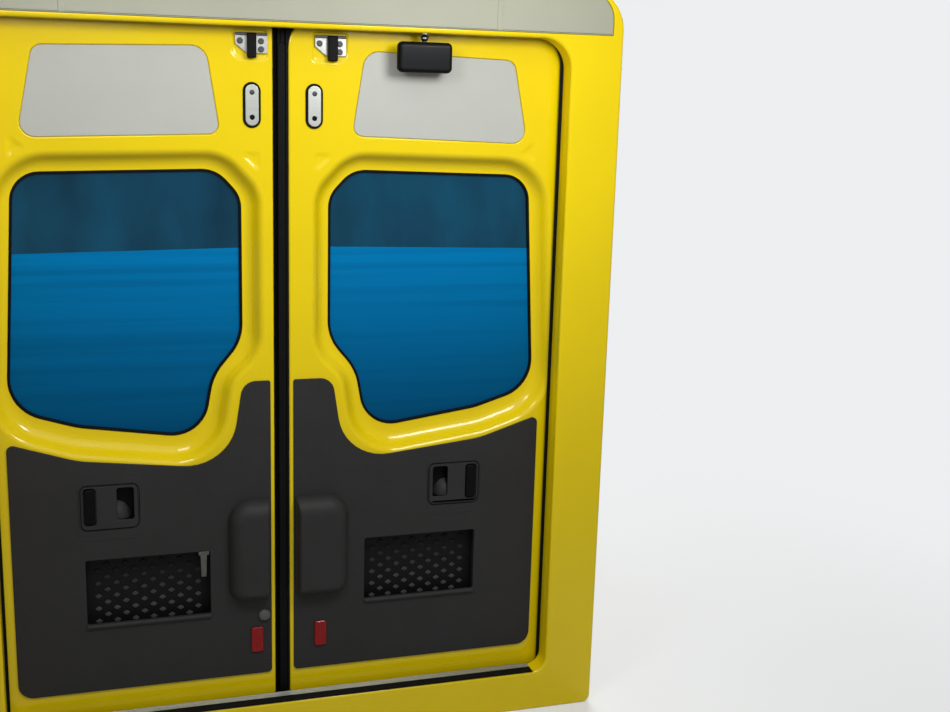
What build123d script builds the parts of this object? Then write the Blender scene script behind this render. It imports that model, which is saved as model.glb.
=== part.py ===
"""Rear doorway of a high-roof ambulance van: a body frame ring with its pair of hinged doors.

Millimetres. X runs across the van, Y runs rearward to the outside, Z is up from the load floor.
The origin is the middle of the ring's forward face at floor height.
"""
import os

from build123d import *

os.makedirs("parts", exist_ok=True)

# Body opening and the ring around it
opening_half_width = 752
opening_height = 1824
ring_depth = 60
post_width = 148
ring_half_width = opening_half_width + post_width
header_height = 136
sill_height = 120
ring_corner_radius = 110
ring_edge_radius = 24
opening_top_radius = 80
opening_bottom_radius = 40

# Door closing: rubber seal on the ring, running clearance, then the door
seal_thickness = 12
seal_width = 40
seal_overhang = 17
seal_overhang_top = 4
seal_drop = 2
door_clearance = 5
door_thickness = 52
skin_thickness = 9
door_side_lap = 55
door_top_lap = 26
door_bottom_lap = 45
door_corner_radius = 60
door_foot_radius = 30

door_face = ring_depth + seal_thickness + door_clearance
door_rear = door_face + door_thickness
skin_front = door_rear - skin_thickness
door_outer_edge = opening_half_width + door_side_lap
door_top = opening_height + door_top_lap
door_bottom = -door_bottom_lap

# Window: its head hangs from the top of the opening, its outer edge follows the opening's side
window_inner = 115
window_margin = 34
window_outer = opening_half_width - window_margin
window_drop = 357
window_head = opening_height - window_drop
window_sill = 743
window_waist = 267
# Distance from the centre plane, height, corner radius
window_rows = (
    (window_inner, window_sill + window_waist, 60),
    (window_inner, window_head - 71, 50),
    (window_inner + 65, window_head, 55),
    (window_outer - 35, window_head - 12, 75),
    (window_outer, window_sill + 102, 110),
    (window_outer - 173, window_sill + 47, 250),
    (window_inner + 109, window_sill, 85),
    (window_inner + 78, window_sill + 172, 60),
)
rubber_width = 5
rubber_lip = 8
rubber_proud = 2

# Floor of the dish pressed round the window; it is widest below the window
dish_margin = 20
dish_foot_margin = 41
# Distance from the centre plane, height, corner radius
dish_rows = (
    (window_inner - dish_margin, window_sill + 245, 60),
    (window_inner - dish_margin, window_head - 64, 65),
    (window_inner + 57, window_head + dish_margin, 70),
    (window_outer - 18, window_head + 8, 120),
    (window_outer + 16, window_sill + 68, 130),
    (window_outer - 168, window_sill + 7, 250),
    (window_inner + 92, window_sill - dish_foot_margin, 100),
    (window_inner + 56, window_sill + 174, 70),
)
dish_depth = 40
dish_slope = 31
dish_mouth_chamfer = 5
panel_edge_chamfer = 4
panel_foot_radius = 10
glass_thickness = 5
glass_recess = 6
glass_clearance = 1

# Pane bonded into the outer skin, a little larger than the window on every side
pane_inner = window_inner - 23
pane_outer = window_outer + 18
pane_head = window_head + 23
pane_foot = window_sill - 20
pane_bend = 256
# Distance from the centre plane, height, corner radius
pane_rows = (
    (pane_inner, pane_foot, 70),
    (pane_inner, pane_head, 90),
    (pane_outer - 30, pane_head - 14, 70),
    (pane_outer, pane_foot + 55, 90),
    (pane_outer - pane_bend, pane_foot, 300),
)

# Blanking panel between the window and the door's head
blank_inner = 171
blank_outer = opening_half_width - 98
blank_foot = window_head + 89
blank_head = opening_height - 48
# Distance from the centre plane, height, corner radius
blank_rows = (
    (blank_inner, blank_foot, 26),
    (blank_inner + 34, blank_head, 44),
    (blank_outer - 36, blank_head - 12, 30),
    (blank_outer + 8, blank_foot - 15, 36),
)
blank_recess = 6
blank_thickness = 4
blank_clearance = 1

# Pressed field on the outer skin below the window
field_inner = 70
field_drop = 63
field_outer = opening_half_width - 62
field_foot = 20
field_head = window_sill - field_drop
field_radius = 60
field_rise = 3
field_taper = 60
skin_foot_radius = 6
skin_head_radius = 12

# Moulded trim on the lower half: distance from the centre plane, height, corner radius
trim_side_margin = 11
trim_thickness = 5
trim_top = window_sill + 163
trim_bottom = 60
trim_outer_edge = opening_half_width - 30
trim_foot_radius = 12
trim_head_radius = 6
trim_dip = 239
trim_bend_drop = 195
trim_side_drop = 138
# Distance from the centre plane, height, corner radius
trim_rows = (
    (window_inner + 6, trim_top, 40),
    (window_inner + 43, trim_top - trim_dip, 130),
    (window_outer - 170, trim_top - trim_bend_drop, 300),
    (trim_outer_edge, trim_top - trim_side_drop, 15),
    (trim_outer_edge, trim_bottom, 40),
)
cavity_margin = 18
cavity_radius = 30
cavity_step_radius = 20
cavity_bend_radius = 40

# Map pocket in the trim
pocket_inner = 209
pocket_width = 337
pocket_outer = pocket_inner + pocket_width
pocket_floor = 149
pocket_height = 288
pocket_lip_height = 106
pocket_lip = pocket_floor + pocket_lip_height
pocket_top = pocket_floor + pocket_height
pocket_depth = 36
pocket_wall = 4
pocket_frame = 6
pocket_lip_radius = 7
grid_thickness = 3
grid_clearance = 1
stud_width = 24
stud_height = 16
stud_proud = 3
stud_taper = 20
stud_pitch_x = 48
stud_pitch_z = 36
stud_columns = 6
stud_rows = 4

# Recessed pull handle in the trim, above the pocket
grip_setback = 190
grip_width = 150
grip_height = 160
grip_inner = pocket_inner + grip_setback
grip_outer = grip_inner + grip_width
grip_bottom = pocket_top + 59
grip_top = grip_bottom + grip_height
grip_radius = 14
grip_wall = 3
grip_depth = 32
grip_bezel = 5
grip_proud = 3
grip_fit = 0.5
slot_inner = grip_inner + 11
slot_outer = slot_inner + 45
slot_bottom = grip_bottom + 47
slot_top = grip_top - 21
slot_radius = 6
grip_bar_thickness = 9

# Lock housing on the trim
housing_gap = 4
housing_outer = pocket_inner - 44
housing_bottom = pocket_lip + 35
housing_height = 285
housing_top = housing_bottom + housing_height
housing_depth = 43
housing_heel = 25
housing_radius = 8

# Three-cornered dimples at the window's two upper corners
dimple_depth = 3
dimple_slope = 45
# Distance from the centre plane, height, corner radius
dimple_rows = (
    (
        (window_inner - 50, window_head - 24, 10),
        (window_inner - 50, window_head + 49, 12),
        (window_inner + 25, window_head + 49, 10),
    ),
    (
        (window_outer - 86, window_head + 48, 5),
        (window_outer - 30, window_head + 95, 7),
        (window_outer - 24, window_head + 13, 7),
    ),
)

# Reflector and top latch
reflector_across = 89
reflector_height = 164
reflector_width = 34
reflector_length = 74
reflector_thickness = 6
latch_width = 82
latch_drop = 12
latch_top = opening_height - latch_drop
latch_length = 54
latch_notch = 30
latch_chamfer = 28
latch_corner_radius = 4
latch_thickness = 4
latch_bar = 8
bolt_width = 24
bolt_bottom = latch_top - 67
bolt_thickness = 14
oval_drop = 181
oval_height = latch_top - oval_drop
oval_length = 116
oval_width = 46
oval_rim = 6
gasket_thickness = 5
oval_thickness = 3

# Free edge of the doors
edge_seal_radius = 4

# Hinges: pins stand behind the outer skin, beyond the door's edge
hinge_foot = 200
hinge_waist = 257
hinge_drop = 184
hinge_heights = (hinge_foot, window_sill + hinge_waist, opening_height - hinge_drop)
pin_across = door_outer_edge + 29
pin_standoff = 15
pin_radius = 4
pin_clearance = 0.3
knuckle_radius = 9
knuckle_length = 44
lug_length = 22
lug_clearance = 1
leaf_thickness = 8
leaf_length = 100
leaf_height = 100
leaf_setback = 22
leaf_chamfer = 14
bracket_width = 48
bracket_inset = 12
pin_axis = door_rear + pin_standoff

# Strikers in the ring, and the notches in the door edges that pass them
striker_width = 40
striker_depth = 30
striker_plate = 4
striker_drop = 13
striker_gap = 12
striker_forward = 31
striker_bar_radius = 5

# Lamps on the outside of the ring; the tail lamps stand between the lower two hinges
tail_lamp_width = 66
tail_lamp_height = 380
tail_lamp_drop = 500
tail_lamp_bottom = hinge_heights[1] - tail_lamp_drop
tail_lamp_recess = 12
tail_lamp_proud = 6
tail_lamp_radius = 12
lens_chamfer = 3
brake_lamp_length = 260
brake_lamp_height = 30
brake_lamp_drop = 45

# Inner cover on the header, mat and edging on the sill, monitor under the header
cover_rise = 18
cover_margin = 30
cover_top_margin = 14
cover_thickness = 12
cover_radius = 70
mat_depth = 33
mat_thickness = 3
mat_inset = 1
edging_thickness = 3
edging_groove = 3
edging_groove_depth = 1
edging_grooves = 4
monitor_across = 349
monitor_drop = 22
monitor_top = opening_height - monitor_drop
monitor_width = 146
monitor_height = 78
monitor_depth = 42
monitor_front = 6
monitor_radius = 12
monitor_chamfer = 4
screen_margin = 9
screen_recess = 1
collar_radius = 10
collar_height = 8
stem_radius = 6
foot_radius = 16
foot_thickness = 3

# Outer handle on the right door
handle_across = 62
handle_height = 900
handle_plate_width = 58
handle_plate_length = 170
handle_plate_thickness = 5
lever_width = 26
lever_length = 150
lever_standoff = 26
lever_thickness = 10
lever_post = 22
lever_post_inset = 3
lever_chamfer = 3

# Sides: name, sign of X, free edge of the pressed panel, edge of the skin, top corner radius,
# across-distance of the top latch, across-distance of the oval plate
sides = (
    ("left", -1, 37, 15, 12, 91, 91),
    ("right", 1, 3, -3, 80, 112, 70),
)


def wall_plane(y):
    """Upright plane across the van at depth y, facing the load space, with X and Z as its axes."""
    return Plane(origin=(0, y, 0), x_dir=(1, 0, 0), z_dir=(0, -1, 0))


def outline(rows, sign):
    """Closed face from rows of across-distance, height and corner radius, on the given side."""
    points = [(sign * across, height) for across, height, radius in rows]
    with BuildSketch(Plane.XY) as shape:
        with BuildLine():
            FilletPolyline(*points, close=True, radius=[row[2] for row in rows])
        make_face()
    return shape.sketch


def save(piece, node):
    """Label a finished piece and write it as its own STEP file."""
    piece.part.label = node
    export_step(piece.part, f"parts/{node}.step")


pocket_half_width = door_outer_edge + door_clearance
pocket_ceiling = door_top + door_clearance
pocket_step = door_bottom - door_clearance

# Header: box section over the doors, stepped back behind them, with the striker seats
header_top = opening_height + header_height
with BuildPart() as header:
    with BuildSketch(wall_plane(door_rear)) as header_face:
        add(outline((
            (-ring_half_width, opening_height, 0),
            (-ring_half_width, header_top, ring_corner_radius),
            (ring_half_width, header_top, ring_corner_radius),
            (ring_half_width, opening_height, 0),
        ), 1))
    extrude(amount=door_rear)
    with BuildSketch(wall_plane(door_rear)) as header_step:
        add(outline((
            (-pocket_half_width, 0, 0),
            (-pocket_half_width, pocket_ceiling, door_corner_radius + door_clearance),
            (pocket_half_width, pocket_ceiling, door_corner_radius + door_clearance),
            (pocket_half_width, 0, 0),
        ), 1))
    extrude(amount=door_rear - ring_depth, mode=Mode.SUBTRACT)
    cover_half_width = ring_half_width - cover_margin
    cover_bottom = opening_height + cover_rise
    cover_top = header_top - cover_top_margin
    cover_rows = (
        (-cover_half_width, cover_bottom, 0),
        (-cover_half_width, cover_top, cover_radius),
        (cover_half_width, cover_top, cover_radius),
        (cover_half_width, cover_bottom, 0),
    )
    with BuildSketch(wall_plane(cover_thickness)) as cover_seat:
        add(outline(cover_rows, 1))
    extrude(amount=cover_thickness, mode=Mode.SUBTRACT)
    brake_lamp_middle = header_top - brake_lamp_drop
    with BuildSketch(wall_plane(door_rear)) as brake_seat:
        with Locations((0, brake_lamp_middle)):
            SlotOverall(brake_lamp_length, brake_lamp_height)
    extrude(amount=tail_lamp_recess, mode=Mode.SUBTRACT)
save(header, "header")

# Header cover: pale moulding let into the header's forward face
with BuildPart() as header_cover:
    with BuildSketch(wall_plane(cover_thickness)) as cover_face:
        add(outline(cover_rows, 1))
    extrude(amount=cover_thickness)
save(header_cover, "header_cover")

with BuildPart() as brake_lamp:
    with BuildSketch(wall_plane(door_rear + tail_lamp_proud)) as brake_face:
        with Locations((0, brake_lamp_middle)):
            SlotOverall(brake_lamp_length, brake_lamp_height)
    extrude(amount=tail_lamp_recess + tail_lamp_proud)
save(brake_lamp, "brake_lamp")

# Sill: stepped box section under the doors
with BuildPart() as sill:
    with BuildSketch(Plane.YZ.offset(-ring_half_width)) as sill_profile:
        with BuildLine():
            Polyline(
                (0, 0),
                (ring_depth, 0),
                (ring_depth, pocket_step),
                (door_rear, pocket_step),
                (door_rear, -sill_height),
                (0, -sill_height),
                close=True,
            )
        make_face()
    extrude(amount=2 * ring_half_width)
    for sign in (-1, 1):
        post_middle = sign * (pocket_half_width + ring_half_width) / 2
        with BuildSketch(Plane.XY.offset(pocket_step)) as sill_end:
            with Locations((post_middle, (ring_depth + door_rear) / 2)):
                Rectangle(ring_half_width - pocket_half_width, door_rear - ring_depth)
        extrude(amount=-pocket_step)
    with BuildSketch(wall_plane(door_rear)) as sill_trim:
        Rectangle(4 * ring_half_width, 4 * sill_height)
        add(outline((
            (-ring_half_width, sill_height, 0),
            (-ring_half_width, -sill_height, ring_edge_radius),
            (ring_half_width, -sill_height, ring_edge_radius),
            (ring_half_width, sill_height, 0),
        ), 1), mode=Mode.SUBTRACT)
    extrude(amount=door_rear, mode=Mode.SUBTRACT)
save(sill, "sill")

# Rubber mat and grooved metal edging on top of the sill
edging_front = mat_depth
edging_depth = ring_depth - mat_depth
tread_half_width = opening_half_width - opening_bottom_radius
with BuildPart() as sill_mat:
    with BuildSketch(Plane.XY) as mat_plan:
        with Locations((0, (mat_depth + mat_inset) / 2)):
            Rectangle(2 * tread_half_width, mat_depth - mat_inset)
    extrude(amount=mat_thickness)
save(sill_mat, "sill_mat")

with BuildPart() as threshold_strip:
    with BuildSketch(Plane.XY) as edging_plan:
        with Locations((0, edging_front + edging_depth / 2)):
            Rectangle(2 * tread_half_width, edging_depth)
    extrude(amount=edging_thickness)
    groove_pitch = edging_depth / (edging_grooves + 1)
    with BuildSketch(Plane.XY.offset(edging_thickness)) as groove_plan:
        with Locations((0, edging_front + edging_depth / 2)):
            with GridLocations(0, groove_pitch, 1, edging_grooves):
                Rectangle(2 * tread_half_width, edging_groove)
    extrude(amount=-edging_groove_depth, mode=Mode.SUBTRACT)
save(threshold_strip, "threshold_strip")

# Closing seal: one rubber ring on the step that the doors close against
seal_inner_half = opening_half_width - seal_overhang
seal_inner_top = opening_height - seal_overhang_top
seal_outer_half = seal_inner_half + seal_width
seal_outer_top = seal_inner_top + seal_thickness + seal_overhang_top
seal_outer_bottom = -seal_drop - seal_thickness - seal_overhang_top
seal_top_radius = opening_top_radius - seal_overhang / 2
with BuildPart() as aperture_seal:
    with BuildSketch(wall_plane(ring_depth + seal_thickness)) as seal_face:
        add(outline((
            (-seal_outer_half, seal_outer_bottom, opening_bottom_radius),
            (-seal_outer_half, seal_outer_top, opening_top_radius),
            (seal_outer_half, seal_outer_top, opening_top_radius),
            (seal_outer_half, seal_outer_bottom, opening_bottom_radius),
        ), 1))
        add(outline((
            (-seal_inner_half, -seal_drop, opening_bottom_radius / 2),
            (-seal_inner_half, seal_inner_top, seal_top_radius),
            (seal_inner_half, seal_inner_top, seal_top_radius),
            (seal_inner_half, -seal_drop, opening_bottom_radius / 2),
        ), 1), mode=Mode.SUBTRACT)
    extrude(amount=seal_thickness)
save(aperture_seal, "aperture_seal")

# Strikers: a seat plate and a bar at the head and foot of each door, clear of the door's notch
striker_middle = door_face + striker_forward - striker_depth / 2
striker_seats = [
    (sign * latch_across, height, direction)
    for name, sign, free_edge, skin_edge, head_radius, latch_across, oval_across in sides
    for height, direction in ((pocket_ceiling, -1), (pocket_step, 1))
]
with BuildPart() as strikers:
    for across, height, direction in striker_seats:
        with BuildSketch(Plane.XY.offset(height)) as striker_seat:
            with Locations((across, striker_middle)):
                Rectangle(striker_width, striker_depth)
        extrude(amount=direction * striker_plate)
        with BuildSketch(Plane.XY.offset(height)) as striker_bar:
            with Locations((across, striker_middle)):
                Circle(striker_bar_radius)
        extrude(amount=direction * striker_drop)
save(strikers, "strikers")

# Monitor hung from a collared stem under the header
with BuildPart() as monitor:
    with BuildSketch(wall_plane(monitor_front + monitor_depth)) as monitor_face:
        with Locations((monitor_across, monitor_top - monitor_height / 2)):
            RectangleRounded(monitor_width, monitor_height, monitor_radius)
    extrude(amount=monitor_depth)
    monitor_front_face = monitor.faces().sort_by(Axis.Y)[0]
    chamfer(monitor_front_face.edges(), monitor_chamfer)
    with BuildSketch(wall_plane(monitor_front + screen_recess)) as screen:
        with Locations((monitor_across, monitor_top - monitor_height / 2)):
            Rectangle(monitor_width - 2 * screen_margin, monitor_height - 2 * screen_margin)
    extrude(amount=screen_recess, mode=Mode.SUBTRACT)
save(monitor, "monitor")

monitor_middle = monitor_front + monitor_depth / 2
stem_length = opening_height - monitor_top
collar_middle = monitor_top + (stem_length - foot_thickness) / 2
with BuildPart() as monitor_stem:
    with BuildSketch(Plane.XY.offset(monitor_top)) as stem:
        with Locations((monitor_across, monitor_middle)):
            Circle(stem_radius)
    extrude(amount=stem_length)
    with BuildSketch(Plane.XY.offset(collar_middle - collar_height / 2)) as collar:
        with Locations((monitor_across, monitor_middle)):
            RegularPolygon(collar_radius, 6)
    extrude(amount=collar_height)
    with BuildSketch(Plane.XY.offset(opening_height)) as stem_foot:
        with Locations((monitor_across, monitor_middle)):
            Circle(foot_radius)
    extrude(amount=-foot_thickness)
save(monitor_stem, "monitor_stem")

for name, sign, free_edge, skin_edge, head_radius, latch_across, oval_across in sides:
    # Pillar: L-shaped corner post, thick in front and stepped back to house the door's edge
    with BuildPart() as pillar:
        with BuildSketch(Plane.XY) as pillar_plan:
            with BuildLine():
                Polyline(
                    (sign * opening_half_width, 0),
                    (sign * ring_half_width, 0),
                    (sign * ring_half_width, door_rear),
                    (sign * pocket_half_width, door_rear),
                    (sign * pocket_half_width, ring_depth),
                    (sign * opening_half_width, ring_depth),
                    close=True,
                )
            make_face()
        extrude(amount=opening_height)
        outer_corner = pillar.edges().filter_by(Axis.Z).sort_by(
            lambda edge: sign * edge.center().X + edge.center().Y
        )[-1]
        fillet(outer_corner, ring_edge_radius)
        for height, radius, centre_height in (
            (opening_height, opening_top_radius, opening_height - opening_top_radius),
            (0, opening_bottom_radius, opening_bottom_radius),
        ):
            with BuildSketch(wall_plane(ring_depth)) as gusset:
                with Locations((
                    sign * (opening_half_width - radius / 2),
                    (height + centre_height) / 2,
                )):
                    Rectangle(radius, radius)
                with Locations((sign * (opening_half_width - radius), centre_height)):
                    Circle(radius, mode=Mode.SUBTRACT)
            extrude(amount=ring_depth)
        lamp_middle = tail_lamp_bottom + tail_lamp_height / 2
        lamp_across = (pocket_half_width + ring_half_width) / 2
        with BuildSketch(wall_plane(door_rear)) as lamp_seat:
            with Locations((sign * lamp_across, lamp_middle)):
                RectangleRounded(tail_lamp_width, tail_lamp_height, tail_lamp_radius)
        extrude(amount=tail_lamp_recess, mode=Mode.SUBTRACT)
    save(pillar, f"pillar_{name}")

    with BuildPart() as tail_lamp:
        with BuildSketch(wall_plane(door_rear + tail_lamp_proud)) as lamp_face:
            with Locations((sign * lamp_across, lamp_middle)):
                RectangleRounded(tail_lamp_width, tail_lamp_height, tail_lamp_radius)
        extrude(amount=tail_lamp_recess + tail_lamp_proud)
        chamfer(tail_lamp.faces().sort_by(Axis.Y)[-1].edges(), lens_chamfer)
    save(tail_lamp, f"tail_lamp_{name}")

    # Pressed inner panel: dished round the window, recessed for the blanking panel and the trim
    window = outline(window_rows, sign)
    window_cut = offset(window, amount=rubber_width - rubber_lip)
    rubber_inside = offset(window, amount=-rubber_lip)
    pane_face = outline(pane_rows, sign)
    blank = outline(blank_rows, sign)
    trim_edge = free_edge + trim_side_margin
    trim_face = outline(
        (
            (trim_edge, trim_bottom, trim_foot_radius),
            (trim_edge, trim_top, trim_head_radius),
        ) + trim_rows,
        sign,
    )
    with BuildPart() as panel:
        with BuildSketch(wall_plane(skin_front)) as panel_face:
            add(outline((
                (free_edge, door_bottom, panel_foot_radius),
                (free_edge, door_top, head_radius),
                (door_outer_edge, door_top, door_corner_radius),
                (door_outer_edge, door_bottom, door_foot_radius),
            ), sign))
        extrude(amount=skin_front - door_face)
        chamfer(panel.faces().sort_by(Axis.Y)[0].edges(), panel_edge_chamfer)
        with BuildSketch(wall_plane(door_face + dish_depth)) as dish:
            add(outline(dish_rows, sign))
        extrude(amount=dish_depth, taper=-dish_slope, mode=Mode.SUBTRACT)
        dish_mouth = panel.faces().sort_by(Axis.Y)[0].inner_wires()[0]
        chamfer(dish_mouth.edges(), dish_mouth_chamfer)
        for rows in dimple_rows:
            with BuildSketch(wall_plane(door_face)) as dimple:
                add(outline(rows, sign))
            extrude(amount=-dimple_depth, taper=dimple_slope, mode=Mode.SUBTRACT)
        with BuildSketch(wall_plane(skin_front)) as window_hole:
            add(window_cut)
        extrude(amount=skin_front - door_face, mode=Mode.SUBTRACT)
        with BuildSketch(wall_plane(door_face + blank_recess)) as blank_seat:
            add(blank)
        extrude(amount=blank_recess, mode=Mode.SUBTRACT)
        cavity_inner = trim_edge + cavity_margin
        cavity_outer = trim_outer_edge - cavity_margin
        cavity_bottom = trim_bottom + cavity_margin
        with BuildSketch(wall_plane(skin_front)) as cavity:
            add(outline((
                (cavity_inner, cavity_bottom, cavity_radius),
                (cavity_inner, housing_top, cavity_radius),
                (housing_outer + cavity_margin, housing_top, cavity_step_radius),
                (slot_inner - cavity_margin, grip_top, cavity_bend_radius),
                (cavity_outer, grip_top, cavity_radius),
                (cavity_outer, cavity_bottom, cavity_radius),
            ), sign))
        extrude(amount=skin_front - door_face, mode=Mode.SUBTRACT)
        for height, direction in ((door_top, -1), (door_bottom, 1)):
            with BuildSketch(wall_plane(door_face + striker_forward + striker_gap)) as notch:
                with Locations((sign * latch_across, height)):
                    Rectangle(
                        striker_width + 2 * striker_gap,
                        2 * (striker_drop + door_clearance - striker_plate),
                    )
            extrude(amount=striker_forward + striker_gap, mode=Mode.SUBTRACT)
    save(panel, f"door_panel_{name}")

    # Outer skin, with the rebate that the glass is bonded into
    with BuildPart() as skin:
        with BuildSketch(wall_plane(door_rear)) as skin_face:
            add(outline((
                (skin_edge, door_bottom, skin_foot_radius),
                (skin_edge, door_top, skin_head_radius),
                (door_outer_edge, door_top, door_corner_radius),
                (door_outer_edge, door_bottom, door_foot_radius),
            ), sign))
        extrude(amount=skin_thickness)
        with BuildSketch(wall_plane(door_rear)) as glass_rebate:
            add(pane_face)
        extrude(amount=glass_recess, mode=Mode.SUBTRACT)
        with BuildSketch(wall_plane(door_rear)) as skin_hole:
            add(window_cut)
        extrude(amount=skin_thickness, mode=Mode.SUBTRACT)
        with BuildSketch(Plane(origin=(0, door_rear, 0), x_dir=(-1, 0, 0), z_dir=(0, 1, 0))) as field:
            with Locations((
                -sign * (field_inner + field_outer) / 2,
                (field_head + field_foot) / 2,
            )):
                RectangleRounded(field_outer - field_inner, field_head - field_foot, field_radius)
        extrude(amount=field_rise, taper=field_taper)
    save(skin, f"door_skin_{name}")

    with BuildPart() as glass:
        with BuildSketch(wall_plane(door_rear - glass_recess + glass_thickness)) as pane:
            add(pane_face)
            offset(amount=-glass_clearance)
        extrude(amount=glass_thickness)
    save(glass, f"glass_{name}")

    # Glazing rubber: a tube in the hole with a lip on the dish's floor, as far out as the window
    dish_floor = door_face + dish_depth
    with BuildPart() as rubber:
        with BuildSketch(wall_plane(door_rear - glass_recess)) as rubber_tube:
            add(window_cut)
            add(rubber_inside, mode=Mode.SUBTRACT)
        extrude(amount=door_rear - glass_recess - dish_floor)
        with BuildSketch(wall_plane(dish_floor)) as rubber_flange:
            add(window)
            add(rubber_inside, mode=Mode.SUBTRACT)
        extrude(amount=rubber_proud)
    save(rubber, f"glazing_rubber_{name}")

    with BuildPart() as blank_panel:
        with BuildSketch(wall_plane(door_face + blank_recess)) as blank_face:
            add(blank)
            offset(amount=-blank_clearance)
        extrude(amount=blank_thickness)
    save(blank_panel, f"blank_panel_{name}")

    # Trim moulding with the map pocket, the hole for the pull handle and the lock housing
    with BuildPart() as trim:
        with BuildSketch(wall_plane(door_face)) as trim_front:
            add(trim_face)
        extrude(amount=trim_thickness)
        pocket_middle = (pocket_inner + pocket_outer) / 2
        with BuildSketch(wall_plane(door_face + pocket_depth + pocket_wall)) as pocket_box:
            with Locations((sign * pocket_middle, (pocket_top + pocket_floor) / 2)):
                Rectangle(pocket_width + 2 * pocket_wall, pocket_height + 2 * pocket_wall)
        extrude(amount=pocket_depth + pocket_wall)
        with BuildSketch(wall_plane(door_face + pocket_depth)) as pocket_space:
            with Locations((sign * pocket_middle, (pocket_top + pocket_floor) / 2)):
                Rectangle(pocket_width, pocket_height)
        extrude(amount=pocket_depth, mode=Mode.SUBTRACT)
        with BuildSketch(wall_plane(door_face)) as pocket_mouth:
            with Locations((sign * pocket_middle, (pocket_top + pocket_lip) / 2)):
                Rectangle(pocket_width - 2 * pocket_frame, pocket_top - pocket_lip)
        extrude(amount=trim_thickness, mode=Mode.SUBTRACT)
        with BuildSketch(Plane.YZ.offset(sign * pocket_middle)) as lip_profile:
            with Locations((door_face - trim_thickness, pocket_lip - pocket_lip_radius)):
                Circle(pocket_lip_radius)
        extrude(amount=pocket_width / 2 - pocket_frame, both=True)
        with BuildSketch(wall_plane(door_face)) as grip_hole:
            with Locations((sign * (grip_inner + grip_outer) / 2, (grip_top + grip_bottom) / 2)):
                RectangleRounded(grip_outer - grip_inner, grip_top - grip_bottom, grip_radius)
        extrude(amount=trim_thickness, mode=Mode.SUBTRACT)
        housing_inner = trim_edge + housing_gap
        trim_front_y = door_face - trim_thickness
        with BuildSketch(Plane.YZ.offset(sign * (housing_inner + housing_outer) / 2)) as heel:
            with BuildLine():
                Polyline(
                    (trim_front_y, housing_top),
                    (trim_front_y - housing_depth, housing_top - housing_depth),
                    (trim_front_y - housing_depth, housing_bottom + housing_heel),
                    (trim_front_y, housing_bottom),
                    close=True,
                )
            make_face()
        extrude(amount=(housing_outer - housing_inner) / 2, both=True)
        housing_front = trim.faces().sort_by(Axis.Y)[0]
        fillet(housing_front.edges(), housing_radius)
    save(trim, f"trim_{name}")

    # Studded back panel that stands in the map pocket
    with BuildPart() as pocket_grid:
        grid_front = door_face + pocket_depth - grid_thickness
        with BuildSketch(wall_plane(grid_front + grid_thickness)) as grid_face:
            with Locations((sign * pocket_middle, (pocket_top + pocket_floor) / 2)):
                Rectangle(pocket_width - 2 * grid_clearance, pocket_height - 2 * grid_clearance)
        extrude(amount=grid_thickness)
        with BuildSketch(wall_plane(grid_front)) as studs:
            for shift_x, shift_z in ((0, 0), (stud_pitch_x / 2, stud_pitch_z / 2)):
                stud_middle = (
                    sign * pocket_middle + shift_x - stud_pitch_x / 4,
                    (pocket_top + pocket_lip) / 2 + shift_z - stud_pitch_z / 4,
                )
                with Locations(stud_middle):
                    with GridLocations(stud_pitch_x, stud_pitch_z, stud_columns, stud_rows):
                        Polygon(
                            (-stud_width / 2, 0),
                            (0, -stud_height / 2),
                            (stud_width / 2, 0),
                            (0, stud_height / 2),
                        )
        extrude(amount=stud_proud, taper=stud_taper)
    save(pocket_grid, f"pocket_grid_{name}")

    # Pull handle: a tray behind the trim with a bar across it and a slot for the fingers
    grip_middle = (sign * (grip_inner + grip_outer) / 2, (grip_top + grip_bottom) / 2)
    with BuildPart() as pull_handle:
        with BuildSketch(wall_plane(door_face + grip_depth)) as grip_tray:
            with Locations(grip_middle):
                RectangleRounded(
                    grip_width - 2 * grip_fit,
                    grip_height - 2 * grip_fit,
                    grip_radius - grip_fit,
                )
        extrude(amount=grip_depth + trim_thickness)
        with BuildSketch(wall_plane(door_face - trim_thickness)) as grip_flange:
            with Locations(grip_middle):
                RectangleRounded(
                    grip_width + 2 * grip_bezel,
                    grip_height + 2 * grip_bezel,
                    grip_radius + grip_bezel,
                )
        extrude(amount=grip_proud)
        with BuildSketch(wall_plane(door_face + grip_depth - grip_wall)) as grip_space:
            with Locations(grip_middle):
                RectangleRounded(
                    grip_width - 2 * grip_wall,
                    grip_height - 2 * grip_wall,
                    grip_radius - grip_wall,
                )
        extrude(amount=grip_depth - grip_wall + trim_thickness + grip_proud, mode=Mode.SUBTRACT)
        with BuildSketch(wall_plane(door_face + grip_bar_thickness - trim_thickness)) as grip_bar:
            with Locations(grip_middle):
                RectangleRounded(
                    grip_width - 2 * grip_wall,
                    grip_height - 2 * grip_wall,
                    grip_radius - grip_wall,
                )
            with Locations((sign * (slot_inner + slot_outer) / 2, (slot_top + slot_bottom) / 2)):
                RectangleRounded(
                    slot_outer - slot_inner,
                    slot_top - slot_bottom,
                    slot_radius,
                    mode=Mode.SUBTRACT,
                )
        extrude(amount=grip_bar_thickness)
    save(pull_handle, f"pull_handle_{name}")

    with BuildPart() as reflector:
        with BuildSketch(wall_plane(door_face - trim_thickness)) as reflector_face:
            with Locations((sign * reflector_across, reflector_height)):
                RectangleRounded(reflector_width, reflector_length, reflector_thickness)
        extrude(amount=reflector_thickness)
    save(reflector, f"reflector_{name}")

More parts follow.
